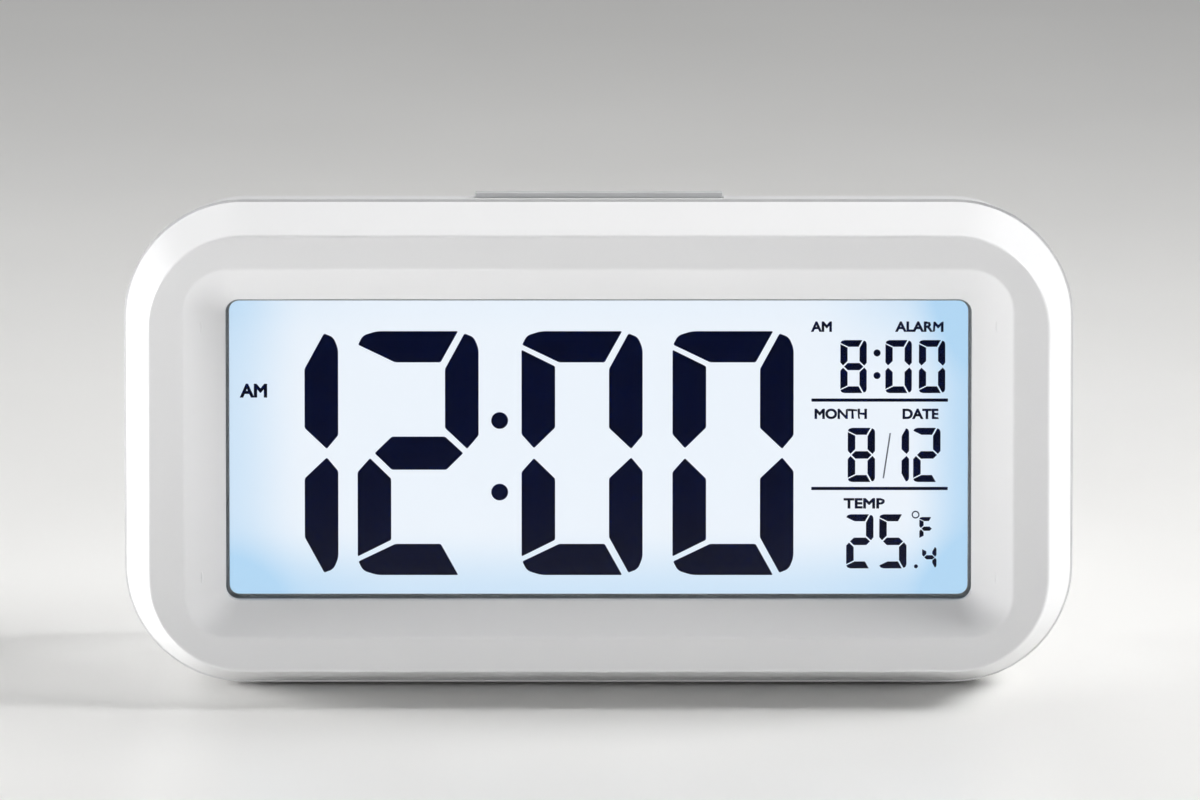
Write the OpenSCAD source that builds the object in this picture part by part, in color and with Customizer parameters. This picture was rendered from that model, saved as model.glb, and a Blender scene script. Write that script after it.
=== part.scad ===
// Desk alarm clock with a wide LCD in a deep white frame.
// World frame: +X to the right seen from the front, the face looks along -Y, +Z up,
// origin under the middle of the case on the surface it stands on. Millimetres.
// The case is drawn upright, x across, y into the case from the front rim, z up from
// the middle of the face, and leaned() then tips it back onto the flat of its rear shell.

/* [Case] */
// Width over the widest line of the case
case_w = 135; // [120:1:170]
// Height over the widest line of the case
case_h = 69.6; // [68:0.2:90]
// Depth of the case, square to the face
case_d = 38.2; // [38:0.2:50]
// Corner radius at the widest line
corner_r = 17; // [15:0.5:18]
// Lean of the face, which is also the draft of the rear shell, in degrees
lean = 7.5; // [5:0.5:9]
// Depth of the front shell, from the rim to the parting line
front_d = 12; // [11:0.2:14]
// Wall of the front shell
front_wall = 2.2; // [1.8:0.1:2.4]
// Wall of the rear shell
rear_wall = 2; // [1.6:0.1:2.2]
// Rounding of the rim's outer edge
rim_edge_r = 1; // [0.4:0.1:1.5]
// Rounding of the rear edge
rear_edge_r = 2.5; // [1.5:0.1:3]
// Steps in each quarter of the case outlines
corner_seg = 12; // [8:1:16]

/* [Frame] */
// How far the outer bevel steps in from the widest line to the rim
outer_bevel = 3.5; // [2:0.1:4.5]
// Width of the flat rim at the sides
rim_side = 5.2; // [4:0.1:7]
// Width of the flat rim above and below
rim_top = 4.85; // [4:0.05:6]
// Width of the inner bevel at the sides
inner_bevel_side = 5.85; // [4.5:0.05:8]
// Width of the inner bevel above and below
inner_bevel_top = 4.85; // [4:0.05:5.5]
// Depth of the inner bevel
recess_d = 4; // [3:0.1:5]
// Thickness of the lip round the window opening
window_lip = 1.2; // [0.8:0.1:1.6]
// Corner radius where the inner bevel starts
recess_r = 6.2; // [4:0.1:8]
// Corner radius of the window opening
window_r = 1.9; // [1:0.1:3]

/* [Display] */
// Thickness of the clear window
lens_t = 1.5; // [1:0.1:2]
// Glue land of the window behind the lip
lens_land = 1.6; // [1:0.1:1.8]
// Thickness of each LCD glass
glass_t = 1.1; // [0.7:0.1:1.1]
// Thickness of a film: polarizer, diffuser or reflector
film_t = 0.2; // [0.1:0.05:0.25]
// Thickness of the light guide
guide_t = 2.4; // [2:0.1:2.6]
// Border of the front glass past the window opening at the sides
glass_side = 1.3; // [1:0.1:1.5]
// Border of the front glass past the window opening above and below
glass_top = 3.4; // [3:0.1:3.6]
// Contact ledge of the front glass, past the rear glass
ledge = 2.4; // [2:0.1:2.6]
// Wall of the holder round the glass
holder_wall = 1; // [0.8:0.1:1.2]
// Thickness of a zebra strip
zebra_t = 1.8; // [1.4:0.1:1.8]

/* [Boards] */
// Thickness of both circuit boards
board_t = 1.6; // [1:0.1:1.8]
// Space between the front glass and the main board
stack_gap = 4.9; // [4.9:0.1:5.6]
// Space from the middle of the outer button to the key board's edge
key_board_edge = 8; // [7:0.5:9]
// Height of the key board
key_board_h = 12.8; // [12:0.2:13]
// Side of a key switch
switch_w = 6; // [5:0.5:6.5]
// Height of a key switch's body
switch_h = 3.4; // [3:0.1:3.8]
// Radius of a switch plunger
plunger_r = 1.7; // [1.2:0.1:1.9]

/* [Buttons] */
// Radius of a rear button's cap
button_r = 3.4; // [2.8:0.1:3.8]
// Spacing of the rear buttons
button_pitch = 15; // [13:0.5:16]
// How far a rear button stands out
button_out = 1; // [0.8:0.1:1.2]
// Travel of a rear button
button_travel = 0.6; // [0.3:0.05:0.7]
// Width of the snooze bar
snooze_w = 35.2; // [28:0.2:44]
// Depth of the snooze bar
snooze_d = 13; // [12:0.5:14]
// Distance from the parting line to the snooze bar
snooze_back = 6.5; // [6:0.1:7]
// How far the snooze bar stands out
snooze_out = 0.8; // [0.5:0.1:1.2]
// Travel of the snooze bar
snooze_travel = 1; // [0.5:0.1:1]
// Travel of the light switch
slide_travel = 2; // [1.5:0.1:2.5]

/* [Batteries] */
// Length of a cell, with its nub
cell_l = 44.5; // [44:0.1:50]
// Radius of a cell
cell_r = 5.25; // [5:0.05:5.5]
// Length of a pressed contact spring
spring_l = 5.9; // [5:0.1:7]
// Thickness of the battery cover
cover_t = 1.8; // [1.4:0.1:1.8]

/* [Fasteners and feet] */
// Radius of a case screw's thread
case_screw_r = 1.25; // [1:0.05:1.4]
// Length of a case screw under its head
case_screw_l = 12; // [10:0.5:12.5]
// Radius of a board screw's thread
board_screw_r = 0.95; // [0.8:0.05:1]
// Radius of a foot
foot_r = 4; // [3:0.5:4.5]
// How far a foot stands out
foot_out = 0.5; // [0.4:0.1:1]

/* [Hidden] */
KEYS = ["mode", "set", "up", "down"];
CELLS = ["1", "2", "3"];

$fn = 48;
move_gap = 0.25;   // between a moving piece and the piece it slides in
slip = 0.15;       // between still pieces that drop into each other
cut = 0.5;         // overrun of a cutting shape
sink = 0.1;        // how far joined shapes of one piece run into each other
clear = 0.3;       // between neighbours that never touch
draft = tan(lean);
bevel_angle = atan(outer_bevel / front_d);

// The face: sizes of the recess at the rim and of the window opening
recess_w = case_w - 2 * (outer_bevel + rim_side);
recess_h = case_h - 2 * (outer_bevel + rim_top);
window_w = recess_w - 2 * inner_bevel_side;
window_h = recess_h - 2 * inner_bevel_top;

// Depths of the display stack, front to back
y_lens = recess_d + window_lip;
y_holder = y_lens + lens_t;
lens_gap = 0.5;    // from the window to the front glass
y_front_glass = y_holder + lens_gap;
y_front_film = y_front_glass - film_t;
y_rear_glass = y_front_glass + glass_t;
y_rear_film = y_rear_glass + glass_t;
y_diffuser = y_rear_film + film_t;
y_guide = y_diffuser + film_t;
y_reflector = y_guide + guide_t;
y_board = y_rear_glass + stack_gap;
y_board_back = y_board + board_t;
lens_w = window_w + 2 * lens_land;
lens_h = window_h + 2 * lens_land;
glass_w = window_w + 2 * glass_side;
glass_h = window_h + 2 * glass_top;
rear_glass_h = glass_h - 2 * ledge;
guide_inset = 1.9;
guide_w = window_w - 2 * guide_inset;
film_w = window_w + 2 * clear;
film_h = window_h + 0.8;
holder_w = glass_w + 2 * (slip + holder_wall);
holder_h = glass_h + 2 * (slip + holder_wall);
led_w = 1.8;
led_h = 3.2;
led_rise = 2.9;
led_x = guide_w / 2 + led_w / 2 + slip;

// Joint between the shells: a lip of the rear shell stands inside the front shell
lip_play = 0.1;
lip_in = front_wall + lip_play;
lip_t = 0.9;
lip_l = 1.2;

// Main board and its posts
post_r = 2.2;
post_x = 30;
post_z = holder_h / 2 + post_r + clear;
board_play = 0.25;   // between the main board's ends and the glass's
board_inset = 0.6;   // between the main board's long edges and the shells' lip
main_board_w = glass_w - 2 * board_play;
main_board_h = case_h - 2 * (lip_in + lip_t + board_inset);

// Case screws: columns stand beside the glass
screw_boss_r = 2.6;
screw_head_r = 2.3;
screw_head_h = 1.8;
head_gap = 0.45;   // round a screw's head in its well
boss_gap = 0.75;   // from the display's holder to a boss
well_wall = 1.3;
seat_rise = 4.2;   // from the main board to the screws' seats
screw_well_r = screw_head_r + head_gap;
screw_x = holder_w / 2 + boss_gap + screw_boss_r;
screw_z = case_h / 2 - corner_r + 0.2;
screw_seat = y_board_back + seat_rise;
column_r = screw_well_r + well_wall;
small_head_r = 1.9;
small_head_h = 1.2;
board_screw_l = 6;
key_screw_l = 5.6;
hole_play = 0.2;   // how much larger a clearance hole's radius is than the thread
boss_root = 0.6;   // how far a boss runs into the wall it stands on
pilot = 0.2;       // how much smaller a pilot hole's radius is than the thread

// Battery bay, along x under the key board
bay_wall = 2;
plate_t = 0.4;
plate_h = 8;
plate_tab = 2;
bay_l = cell_l + spring_l + 2 * plate_t;
cell_gap = 0.45;   // between neighbouring cells
bay_play = 0.5;    // above and below the cells, together
cell_cover_gap = 0.85;
bay_floor = 1.4;
cell_pitch = 2 * cell_r + cell_gap;
bay_h = 3 * cell_pitch + bay_play;
y_rear_in = case_d - rear_wall;
cover_edge = 1.2;  // how far the cover laps over the bay wall
y_cell = y_rear_in - cell_cover_gap - cell_r;
y_bay = y_cell - cell_r - move_gap;
y_bay_back = y_bay - bay_floor;
bay_sill = 4;      // height of the wall's flat under the bay
z_bay = -case_h / 2 + draft * (case_d - front_d) + rear_edge_r + bay_sill;
z_bay_top = z_bay + bay_h;
cover_w = bay_l + 2 * cover_edge;
cover_h = bay_h + 2 * cover_edge;
z_cover = z_bay - cover_edge;
y_cover = case_d - cover_t;
tab_w = 6;
tab_x = 14;
tab_out = 1.6;     // how far a tab reaches behind the wall
tab_in = 2.2;
tab_t = 1.4;
tab_drop = 4;
tab_slot_z = z_bay - tab_drop;
tab_slot_y = y_rear_in - 2.6;
tongue_w = 12;
hinge_r = cover_t / 2;   // half-round lower edge that the cover tips on
y_hinge = case_d - hinge_r;
z_hinge = z_cover + hinge_r;

// Key board behind the rear buttons
key_board_gap = 1.7;   // from the bay's wall to the key board
z_key = z_bay_top + bay_wall + key_board_gap + key_board_h / 2;
flange_out = 1.2;
flange_t = 1;
button_stem = 0.9;
button_stem_r = 1.5;
button_dome = 0.5;
button_flange_r = button_r + flange_out;
y_flange = y_rear_in - clear - flange_t;
y_plunger = y_flange - button_stem;
y_switch_top = y_plunger - button_travel - sink;
y_key_board_back = y_switch_top - switch_h;
y_key_board = y_key_board_back - board_t;
key_x = [for (i = [0 : 3]) (2 - i) * button_pitch];
slide_gap = 23;    // from the last button to the light switch
slide_x = key_x[3] - slide_gap;
key_post_x = [(key_x[0] + key_x[1]) / 2, key_x[3] - slide_gap / 2];
key_post_r = 2;
knob_w = 3;
knob_h = 3;
knob_out = 0.7;
shield_t = 0.8;
lever_w = 1.6;
lever_in = 1.5;
y_shield = y_rear_in - clear - shield_t;
y_slide_top = y_shield - clear;

// Snooze bar and its switch
y_snooze = front_d + snooze_back;
y_snooze_end = y_snooze + snooze_d;
collar_wall = 1.2;
collar_h = 2.6;
snooze_wall = 1.4;
snooze_cap = 1.6;
snooze_post_r = 1.6;
z_collar = top_z(y_snooze_end) - rear_wall - collar_h;
y_snooze_post = y_snooze + 1.7;
z_snooze_plunger = z_collar - 2;
z_snooze_body = z_snooze_plunger - snooze_travel - sink;
snooze_body_h = 4;
plunger_in = 0.8;  // how far a plunger reaches into its switch
hook_out = 0.9;
hook_t = 1;

// Wiring: its radius, and where it meets the main board and the battery plates
wire_r = 0.5;
buzzer_wire_r = 0.4;
wire_gap = 0.03;   // a wire's end stops this far off what it is soldered to
y_pad = y_board_back + wire_gap;
pad_x = bay_l / 2 - plate_t / 2;
plate_reach = 3.2; // how far the single plates reach behind the bay

// Buzzer and vents, either side of the battery bay
buzzer_r = 10;
buzzer_rim = 1;
buzzer_gap = 1.9;  // from the bay's wall to the buzzer's rim
buzzer_rise = 2.2; // of the buzzer's middle above the bay's
buzzer_air = 1.95; // between the buzzer and the wall
buzzer_lip = 0.4;
buzzer_x = bay_l / 2 + bay_wall + buzzer_gap + buzzer_rim + buzzer_r;
buzzer_z = z_bay + bay_h / 2 + buzzer_rise;
y_buzzer = y_rear_in - buzzer_air;
buzzer_plate_t = 0.25;
ceramic_r = 7;
sound_r = 0.75;
sound_ring_r = 3.4;
vent_x = -buzzer_x;
vent_w = 13;
vent_h = 1.2;
vent_pitch = 3;
sensor_r = 1.2;

// Where the leaned case stands: its flat bottom is level at the height of the feet
rim_c = outer_bevel + rim_edge_r * tan((90 - bevel_angle) / 2);
rear_c = draft * (case_d - rear_edge_r - front_d) + rear_edge_r / cos(lean);
y_min = -(case_h / 2 - rim_c) * sin(lean) - rim_edge_r * (1 - cos(lean));
y_max = (case_d - rear_edge_r) * cos(lean) + (case_h / 2 - rear_c) * sin(lean) + rear_edge_r;
shift_y = -(y_min + y_max) / 2;
shift_z = case_h / 2 * cos(lean) + front_d * sin(lean) + foot_out;
y_flat_front = front_d * cos(lean) - case_h / 2 * sin(lean) + shift_y;
y_flat_rear = y_flat_front + (case_d - rear_edge_r - front_d) / cos(lean);
foot_sunk = 0.5;
foot_h = foot_out + foot_sunk;
foot_side = 10;    // from the corner's start to a foot's middle
foot_edge = 1.5;   // from the flat's edge to a foot's rim
foot_x = case_w / 2 - corner_r - foot_side;
foot_inset = foot_r + foot_edge;

// Height of battery k's axis, counted from the top
function cell_z(k) = z_bay + bay_h / 2 + (1 - k) * cell_pitch;

// Height of the rear shell's top surface at depth y
function top_z(y) = case_h / 2 - draft * (y - front_d);

// Outline of a rounded rectangle, anticlockwise from its right side
function rounded(w, h, r) = [
    for (q = [0 : 3], i = [0 : corner_seg])
        let (a = 90 * (q + i / corner_seg),
             sx = (q == 0 || q == 3) ? 1 : -1,
             sz = (q < 2) ? 1 : -1)
        [sx * (w / 2 - r) + r * cos(a), sz * (h / 2 - r) + r * sin(a)]
];

// One ring of a loft: depth, width, height and corner radius
function ring(y, w, h, r) = [y, w, h, r];

// A ring of the case outline, stepped in from the widest line
function case_ring(y, inset) = ring(y, case_w - 2 * inset, case_h - 2 * inset, corner_r - inset);

// Skin over rings that run front to back on the outside; closed joins the last to the first
module loft(rings, closed = false) {
    n = 4 * (corner_seg + 1);
    m = len(rings);
    points = [for (k = rings) for (p = rounded(k[1], k[2], k[3])) [p.x, k[0], p.y]];
    sides = [for (j = [0 : m - (closed ? 1 : 2)], i = [0 : n - 1])
        let (a = j * n + i, b = j * n + (i + 1) % n,
             c = ((j + 1) % m) * n + i, d = ((j + 1) % m) * n + (i + 1) % n)
        each [[a, b, d], [a, d, c]]];
    caps = closed ? [] : [[for (i = [n - 1 : -1 : 0]) i], [for (i = [0 : n - 1]) (m - 1) * n + i]];
    polyhedron(points, concat(sides, caps));
}

// Plate with rounded corners between two depths
module slab(w, h, r, y0, y1) {
    translate([0, y1, 0]) rotate([90, 0, 0]) linear_extrude(y1 - y0) polygon(rounded(w, h, r));
}

// Block centred on x and z between two depths
module block(x, z, w, h, y0, y1) {
    translate([x - w / 2, y0, z - h / 2]) cube([w, y1 - y0, h]);
}

// Round bar along the depth
module rod(x, z, r, y0, y1) {
    translate([x, y0, z]) rotate([-90, 0, 0]) cylinder(r = r, h = y1 - y0);
}

// Prism along x, from an outline in depth and height
module side_prism(outline, w, x = 0) {
    translate([x - w / 2, 0, 0]) rotate([90, 0, 90]) linear_extrude(w) polygon(outline);
}

// Solid of revolution about an axis along the depth, from radius and depth pairs
module turned(x, z, outline) {
    translate([x, 0, z]) rotate([-90, 0, 0]) rotate_extrude() polygon(outline);
}

// Children at the four places (+-x, +-z)
module four(x, z) {
    for (sx = [-1, 1], sz = [-1, 1]) translate([sx * x, 0, sz * z]) children();
}

// The leaned case in the world frame
module leaned() {
    translate([0, shift_y, shift_z]) rotate([-lean, 0, 0]) children();
}

// Pan-head screw with a cross recess: head towards the rear, thread towards the face
module screw(x, z, y_seat, r, l, head_r, head_h) {
    difference() {
        turned(x, z, [[0, y_seat - l], [r * 0.5, y_seat - l], [r, y_seat - l + r], [r, y_seat],
            [head_r, y_seat], [head_r, y_seat + head_h * 0.6],
            [head_r * 0.7, y_seat + head_h], [0, y_seat + head_h]]);
        block(x, z, head_r * 1.1, head_r * 0.28, y_seat + head_h * 0.35, y_seat + head_h + cut);
        block(x, z, head_r * 0.28, head_r * 1.1, y_seat + head_h * 0.35, y_seat + head_h + cut);
    }
}

// Catmull-Rom curve through hand-placed points, n steps a span
function through(p, n) = let (q = concat([2 * p[0] - p[1]], p, [2 * p[len(p) - 1] - p[len(p) - 2]]))
    concat([for (i = [1 : len(p) - 1], k = [0 : n - 1]) let (t = k / n)
        0.5 * (2 * q[i] + (q[i + 1] - q[i - 1]) * t
            + (2 * q[i - 1] - 5 * q[i] + 4 * q[i + 1] - q[i + 2]) * t * t
            + (3 * q[i] - q[i - 1] - 3 * q[i + 1] + q[i + 2]) * t * t * t)], [p[len(p) - 1]]);

// Round tube of radius r along a path; side is any direction the path never takes
module tube(path, r, side, sides = 8) {
    m = len(path);
    points = [for (j = [0 : m - 1])
        let (t = path[min(j + 1, m - 1)] - path[max(j - 1, 0)],
             u0 = cross(t, side), u = u0 / norm(u0), v0 = cross(t, u), v = v0 / norm(v0))
        for (i = [0 : sides - 1]) path[j] + r * (cos(360 * i / sides) * u + sin(360 * i / sides) * v)];
    faces = [for (j = [0 : m - 2], i = [0 : sides - 1])
        let (a = j * sides + i, b = j * sides + (i + 1) % sides) each
        [[a, a + sides, b + sides], [a, b + sides, b]]];
    polyhedron(points, concat(faces, [[for (i = [0 : sides - 1]) i],
        [for (i = [sides - 1 : -1 : 0]) (m - 1) * sides + i]]));
}

// Frame: outer bevel, flat rim, inner bevel and the lip round the window, as one moulded ring
module front_shell() {
    edge = [for (i = [0 : 3]) let (a = (90 - bevel_angle) * i / 3)
        case_ring(rim_edge_r * (1 - cos(a)), rim_c - rim_edge_r * sin(a))];
    step = front_wall + cut;
    step_y = front_d - lip_l - 0.2;
    wall_at = front_wall + outer_bevel * (1 - front_wall / front_d);
    round = 0.4;
    seat = lens_land + 2 * clear;
    body = concat(edge, [
        case_ring(front_d, 0),
        case_ring(front_d, front_wall),
        case_ring(step_y, front_wall),
        case_ring(step_y, step),
        case_ring(front_wall, wall_at),
        ring(front_wall, recess_w + 2 * round, recess_h + 2 * round, recess_r + round),
        ring(y_lens, window_w + 2 * seat, window_h + 2 * seat, window_r + seat),
        ring(y_lens, window_w, window_h, window_r),
        ring(recess_d, window_w, window_h, window_r),
        ring(0, recess_w, recess_h, recess_r)]);
    color("white") leaned() difference() {
        union() {
            loft(body, closed = true);
            four(screw_x, screw_z) rod(0, 0, screw_boss_r, front_wall - boss_root, front_d);
            four(post_x, post_z) rod(0, 0, post_r, front_wall - boss_root, y_board);
        }
        four(screw_x, screw_z) rod(0, 0, case_screw_r - pilot, screw_seat - case_screw_l - 1, front_d + cut);
        four(post_x, post_z) rod(0, 0, board_screw_r - pilot, y_board - board_screw_l, y_board + cut);
    }
}

// Guide round the snooze bar, down from the top wall
module snooze_collar() {
    w = snooze_w + 2 * (move_gap + collar_wall);
    y0 = y_snooze - move_gap - collar_wall;
    y1 = y_snooze_end + move_gap + collar_wall;
    side_prism([[y0, z_collar], [y1, z_collar], [y1, top_z(y1) - 1], [y0, top_z(y0) - 1]], w);
}

// Ring that the buzzer disc sits in
module buzzer_seat() {
    rim = buzzer_r + buzzer_rim;
    hold = buzzer_r - 0.8;
    y_lip = y_buzzer - buzzer_plate_t - buzzer_lip;
    turned(buzzer_x, buzzer_z, [[hold, y_rear_in + cut], [hold, y_buzzer],
        [buzzer_r + slip, y_buzzer], [buzzer_r + slip, y_lip], [rim, y_lip], [rim, y_rear_in + cut]]);
}

// Rear shell: drafted cup with the battery bay, wells, guides and posts moulded in
module rear_shell() {
    arc = [for (i = [0 : 4]) (90 - lean) * i / 4];
    inner_r = rear_edge_r - 0.8;
    neck = 3.5;      // where the lip's thickening starts and ends, behind the parting line
    neck_end = 1.6;
    inner_c = draft * (y_rear_in - inner_r - front_d) + rear_wall + inner_r / cos(lean);
    cup = concat(
        [for (a = arc) case_ring(y_rear_in - inner_r * (1 - cos(a)), inner_c - inner_r * sin(a))],
        [case_ring(front_d + neck, rear_wall + draft * neck),
         case_ring(front_d + neck_end, lip_in + lip_t),
         case_ring(front_d - lip_l, lip_in + lip_t),
         case_ring(front_d - lip_l, lip_in),
         case_ring(front_d, lip_in),
         case_ring(front_d, 0)],
        [for (i = [4 : -1 : 0]) case_ring(case_d - rear_edge_r * (1 - cos(arc[i])),
            rear_c - rear_edge_r * sin(arc[i]))]);
    bay_z = z_bay + bay_h / 2;
    color("white") difference() {
        leaned() difference() {
            union() {
                loft(cup);
                four(screw_x, screw_z) {
                    rod(0, 0, column_r, y_board + clear, y_rear_in + cut);
                    rod(0, 0, screw_boss_r, front_d, y_board + 1);
                }
                block(0, bay_z, bay_l + 2 * bay_wall, bay_h + 2 * bay_wall, y_bay_back, y_rear_in + cut);
                snooze_collar();
                for (x = key_post_x) rod(x, z_key, key_post_r, y_key_board_back, y_rear_in + cut);
                buzzer_seat();
            }
            four(screw_x, screw_z) {
                rod(0, 0, screw_well_r, screw_seat, case_d + cut);
                rod(0, 0, case_screw_r + hole_play, front_d - cut, screw_seat + cut);
            }
            block(0, bay_z, bay_l, bay_h, y_bay, case_d + cut);
            block(0, bay_z, cover_w + 2 * move_gap, cover_h + 2 * move_gap, y_rear_in, case_d + cut);
            for (x = [-tab_x, tab_x])
                block(x, (tab_slot_z + z_bay + sink) / 2, tab_w + 1, tab_drop + sink, tab_slot_y,
                    y_rear_in + cut);
            for (k = [0, 2]) contact_slot(k);
            block(0, (z_collar + case_h) / 2, snooze_w + 2 * move_gap, case_h - z_collar + 2 * cut,
                y_snooze - move_gap, y_snooze_end + move_gap);
            for (x = key_x) rod(x, z_key, button_r + move_gap, y_rear_in - cut, case_d + cut);
            for (x = key_post_x)
                rod(x, z_key, board_screw_r - pilot, y_key_board_back - cut, y_key_board + key_screw_l + cut);
            block(slide_x + slide_travel / 2, z_key, knob_w + slide_travel + 2 * move_gap,
                knob_h + 2 * move_gap, y_rear_in - cut, case_d + cut);
            for (a = [0 : 60 : 300])
                rod(buzzer_x + sound_ring_r * cos(a), buzzer_z + sound_ring_r * sin(a), sound_r,
                    y_rear_in - cut, case_d + cut);
            rod(buzzer_x, buzzer_z, sound_r, y_rear_in - cut, case_d + cut);
            for (i = [-1.5 : 1.5])
                block(vent_x, buzzer_z + vent_pitch * i, vent_w, vent_h, y_rear_in - cut, case_d + cut);
        }
        feet(foot_r + slip, foot_out - cut, foot_h);
    }
}

// Clear window glued behind the lip
module display_window() {
    color([0.9, 0.95, 1, 0.35]) leaned() slab(lens_w, lens_h, window_r + lens_land, y_lens, y_holder);
}

// LCD sandwich and its backlight, front to back
module front_polarizer() {
    color([0.75, 0.85, 0.95]) leaned() slab(film_w, film_h, 0.5, y_front_film, y_front_glass);
}
module lcd_front_glass() {
    color([0.8, 0.9, 1, 0.5]) leaned() slab(glass_w, glass_h, 0.3, y_front_glass, y_rear_glass);
}
module lcd_rear_glass() {
    color([0.8, 0.9, 1, 0.5]) leaned() slab(glass_w, rear_glass_h, 0.3, y_rear_glass, y_rear_film);
}
module rear_polarizer() {
    color([0.6, 0.7, 0.8]) leaned() slab(film_w, film_h, 0.5, y_rear_film, y_diffuser);
}
module diffuser_sheet() {
    color("whitesmoke") leaned() slab(guide_w, film_h, 0.5, y_diffuser, y_guide);
}
module light_guide() {
    color([0.85, 0.93, 1, 0.6]) leaned() slab(guide_w, film_h, 0.5, y_guide, y_reflector);
}
module reflector_sheet() {
    color("white") leaned() slab(guide_w, film_h, 0.5, y_reflector, y_reflector + film_t);
}

// Side-firing lamps on the main board, two at each end of the light guide
module backlight_leds() {
    color("ivory") leaned() four(led_x, window_h / 5) block(0, 0, led_w, led_h, y_board - led_rise, y_board);
}

// Frame that holds the glass, with a thin flange in front of it and feet on the main board
module lcd_holder() {
    flange = 0.6;
    color("gainsboro") leaned() difference() {
        slab(holder_w, holder_h, 1, y_holder, y_board);
        slab(glass_w + 2 * slip, glass_h + 2 * slip, 0.4, y_front_glass, y_board + cut);
        slab(glass_w - 2 * flange, glass_h - 2 * flange, 0.4, y_holder - cut, y_front_glass + cut);
    }
}

// Rubber connectors between the contact ledges and the main board
module zebra_strips() {
    z = (glass_h + rear_glass_h) / 4 + 0.1;
    color("hotpink") leaned() for (s = [-1, 1])
        block(0, s * z, window_w * 0.86, zebra_t, y_rear_glass, y_board);
}

module main_board() {
    color("darkgreen") leaned() difference() {
        slab(main_board_w, main_board_h, 3, y_board, y_board_back);
        four(post_x, post_z) rod(0, 0, board_screw_r + hole_play, y_board - cut, y_board_back + cut);
    }
}

// Epoxy dome over the bonded clock chip
module chip_cover() {
    r = 6.5;
    h = 1.5;
    ball = (r * r + h * h) / (2 * h);
    rise = [for (i = [0 : 8]) let (a = asin(r / ball) * (1 - i / 8))
        [ball * sin(a), y_board_back + h - ball + ball * cos(a)]];
    color("#202020") leaned() turned(-12, 4, concat([[0, y_board_back]], rise));
}

module quartz_crystal() {
    color("silver") leaned() translate([-24, y_board_back + 1.2, 12]) {
        rotate([0, 90, 0]) cylinder(r = 1, h = 6);
        for (z = [-0.35, 0.35]) translate([-1.2, 0, z]) {
            rotate([0, 90, 0]) cylinder(r = 0.15, h = 1.4);
            rotate([90, 0, 0]) cylinder(r = 0.15, h = 1.2);
        }
    }
}

module chip_resistors() {
    color("black") leaned() for (i = [0 : 3], k = [0, 1])
        block(4 + 3 * i, 2 + 3 * k, 1.6, 0.8, y_board_back, y_board_back + 0.5);
}

module chip_capacitors() {
    color("tan") leaned() for (i = [0 : 4])
        block(-32 + 3.4 * i, -6, 2, 1.25, y_board_back, y_board_back + 0.9);
}

module power_capacitor() {
    r = 2.5;
    h = 5.5;
    color("midnightblue") leaned() turned(34, 20, [[0, y_board_back], [r, y_board_back],
        [r, y_board_back + h - clear], [r - clear, y_board_back + h], [0, y_board_back + h]]);
}

module board_screws() {
    color("silver") leaned() four(post_x, post_z)
        screw(0, 0, y_board_back, board_screw_r, board_screw_l, small_head_r, small_head_h);
}

// Upright key switch on the main board's top edge, pressed from above by the snooze bar
module snooze_switch() {
    color("dimgray") leaned() difference() {
        block(0, z_snooze_body - snooze_body_h / 2, switch_w, snooze_body_h, y_board_back,
            y_snooze_post + plunger_r + 0.7);
        translate([0, y_snooze_post, z_snooze_body - snooze_travel - plunger_in - sink])
            cylinder(r = plunger_r + slip, h = snooze_body_h);
    }
}
module snooze_plunger() {
    color("#303030") leaned() translate([0, y_snooze_post, z_snooze_body - plunger_in])
        cylinder(r = plunger_r, h = z_snooze_plunger - z_snooze_body + plunger_in);
}

// Snooze bar: hollow cap, two legs with hooks under the collar, and a post over the switch
module snooze_bar() {
    z_skirt = z_collar + 1;
    hook_y = [y_snooze + 3, y_snooze_end - 5];
    outer = [[y_snooze, z_skirt], [y_snooze_end, z_skirt],
        [y_snooze_end, top_z(y_snooze_end) + snooze_out], [y_snooze, top_z(y_snooze) + snooze_out]];
    y0 = y_snooze + snooze_wall;
    y1 = y_snooze_end - snooze_wall;
    inner = [[y0, z_skirt - cut], [y1, z_skirt - cut],
        [y1, top_z(y_snooze_end) + snooze_out - snooze_cap], [y0, top_z(y_snooze) + snooze_out - snooze_cap]];
    z_hook = z_collar - hook_t - clear;
    hook_l = hook_y[1] - hook_y[0];
    post_h = top_z(y_snooze_post) + snooze_out - snooze_cap / 2 - z_snooze_plunger;
    color("silver") leaned() {
        difference() {
            side_prism(outer, snooze_w);
            side_prism(inner, snooze_w - 2 * snooze_wall);
        }
        for (s = [-1, 1]) {
            translate([s * (snooze_w - snooze_wall) / 2 - snooze_wall / 2, hook_y[0], z_hook])
                cube([snooze_wall, hook_l, z_skirt + clear - z_hook]);
            translate([s * (snooze_w + hook_out) / 2 - (hook_out + sink) / 2, hook_y[0], z_hook])
                cube([hook_out + sink, hook_l, hook_t]);
        }
        translate([0, y_snooze_post, z_snooze_plunger]) cylinder(r = snooze_post_r, h = post_h);
    }
}

// Key board inside the rear shell
module key_board() {
    x0 = slide_x - key_board_edge;
    x1 = key_x[0] + key_board_edge;
    color("darkgreen") leaned() difference() {
        block((x0 + x1) / 2, z_key, x1 - x0, key_board_h, y_key_board, y_key_board_back);
        for (x = key_post_x)
            rod(x, z_key, board_screw_r + hole_play, y_key_board - cut, y_key_board_back + cut);
    }
}

module key_board_screws() {
    color("silver") leaned() for (x = key_post_x)
        mirror([0, 1, 0])
            screw(x, z_key, -y_key_board, board_screw_r, key_screw_l, small_head_r, small_head_h);
}

module key_switch(x) {
    color("dimgray") leaned() difference() {
        block(x, z_key, switch_w, switch_w, y_key_board_back, y_switch_top);
        rod(x, z_key, plunger_r + slip, y_switch_top - button_travel - plunger_in, y_switch_top + cut);
    }
}
module key_plunger(x) {
    color("#303030") leaned() rod(x, z_key, plunger_r, y_switch_top - plunger_in + sink, y_plunger);
}

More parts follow.
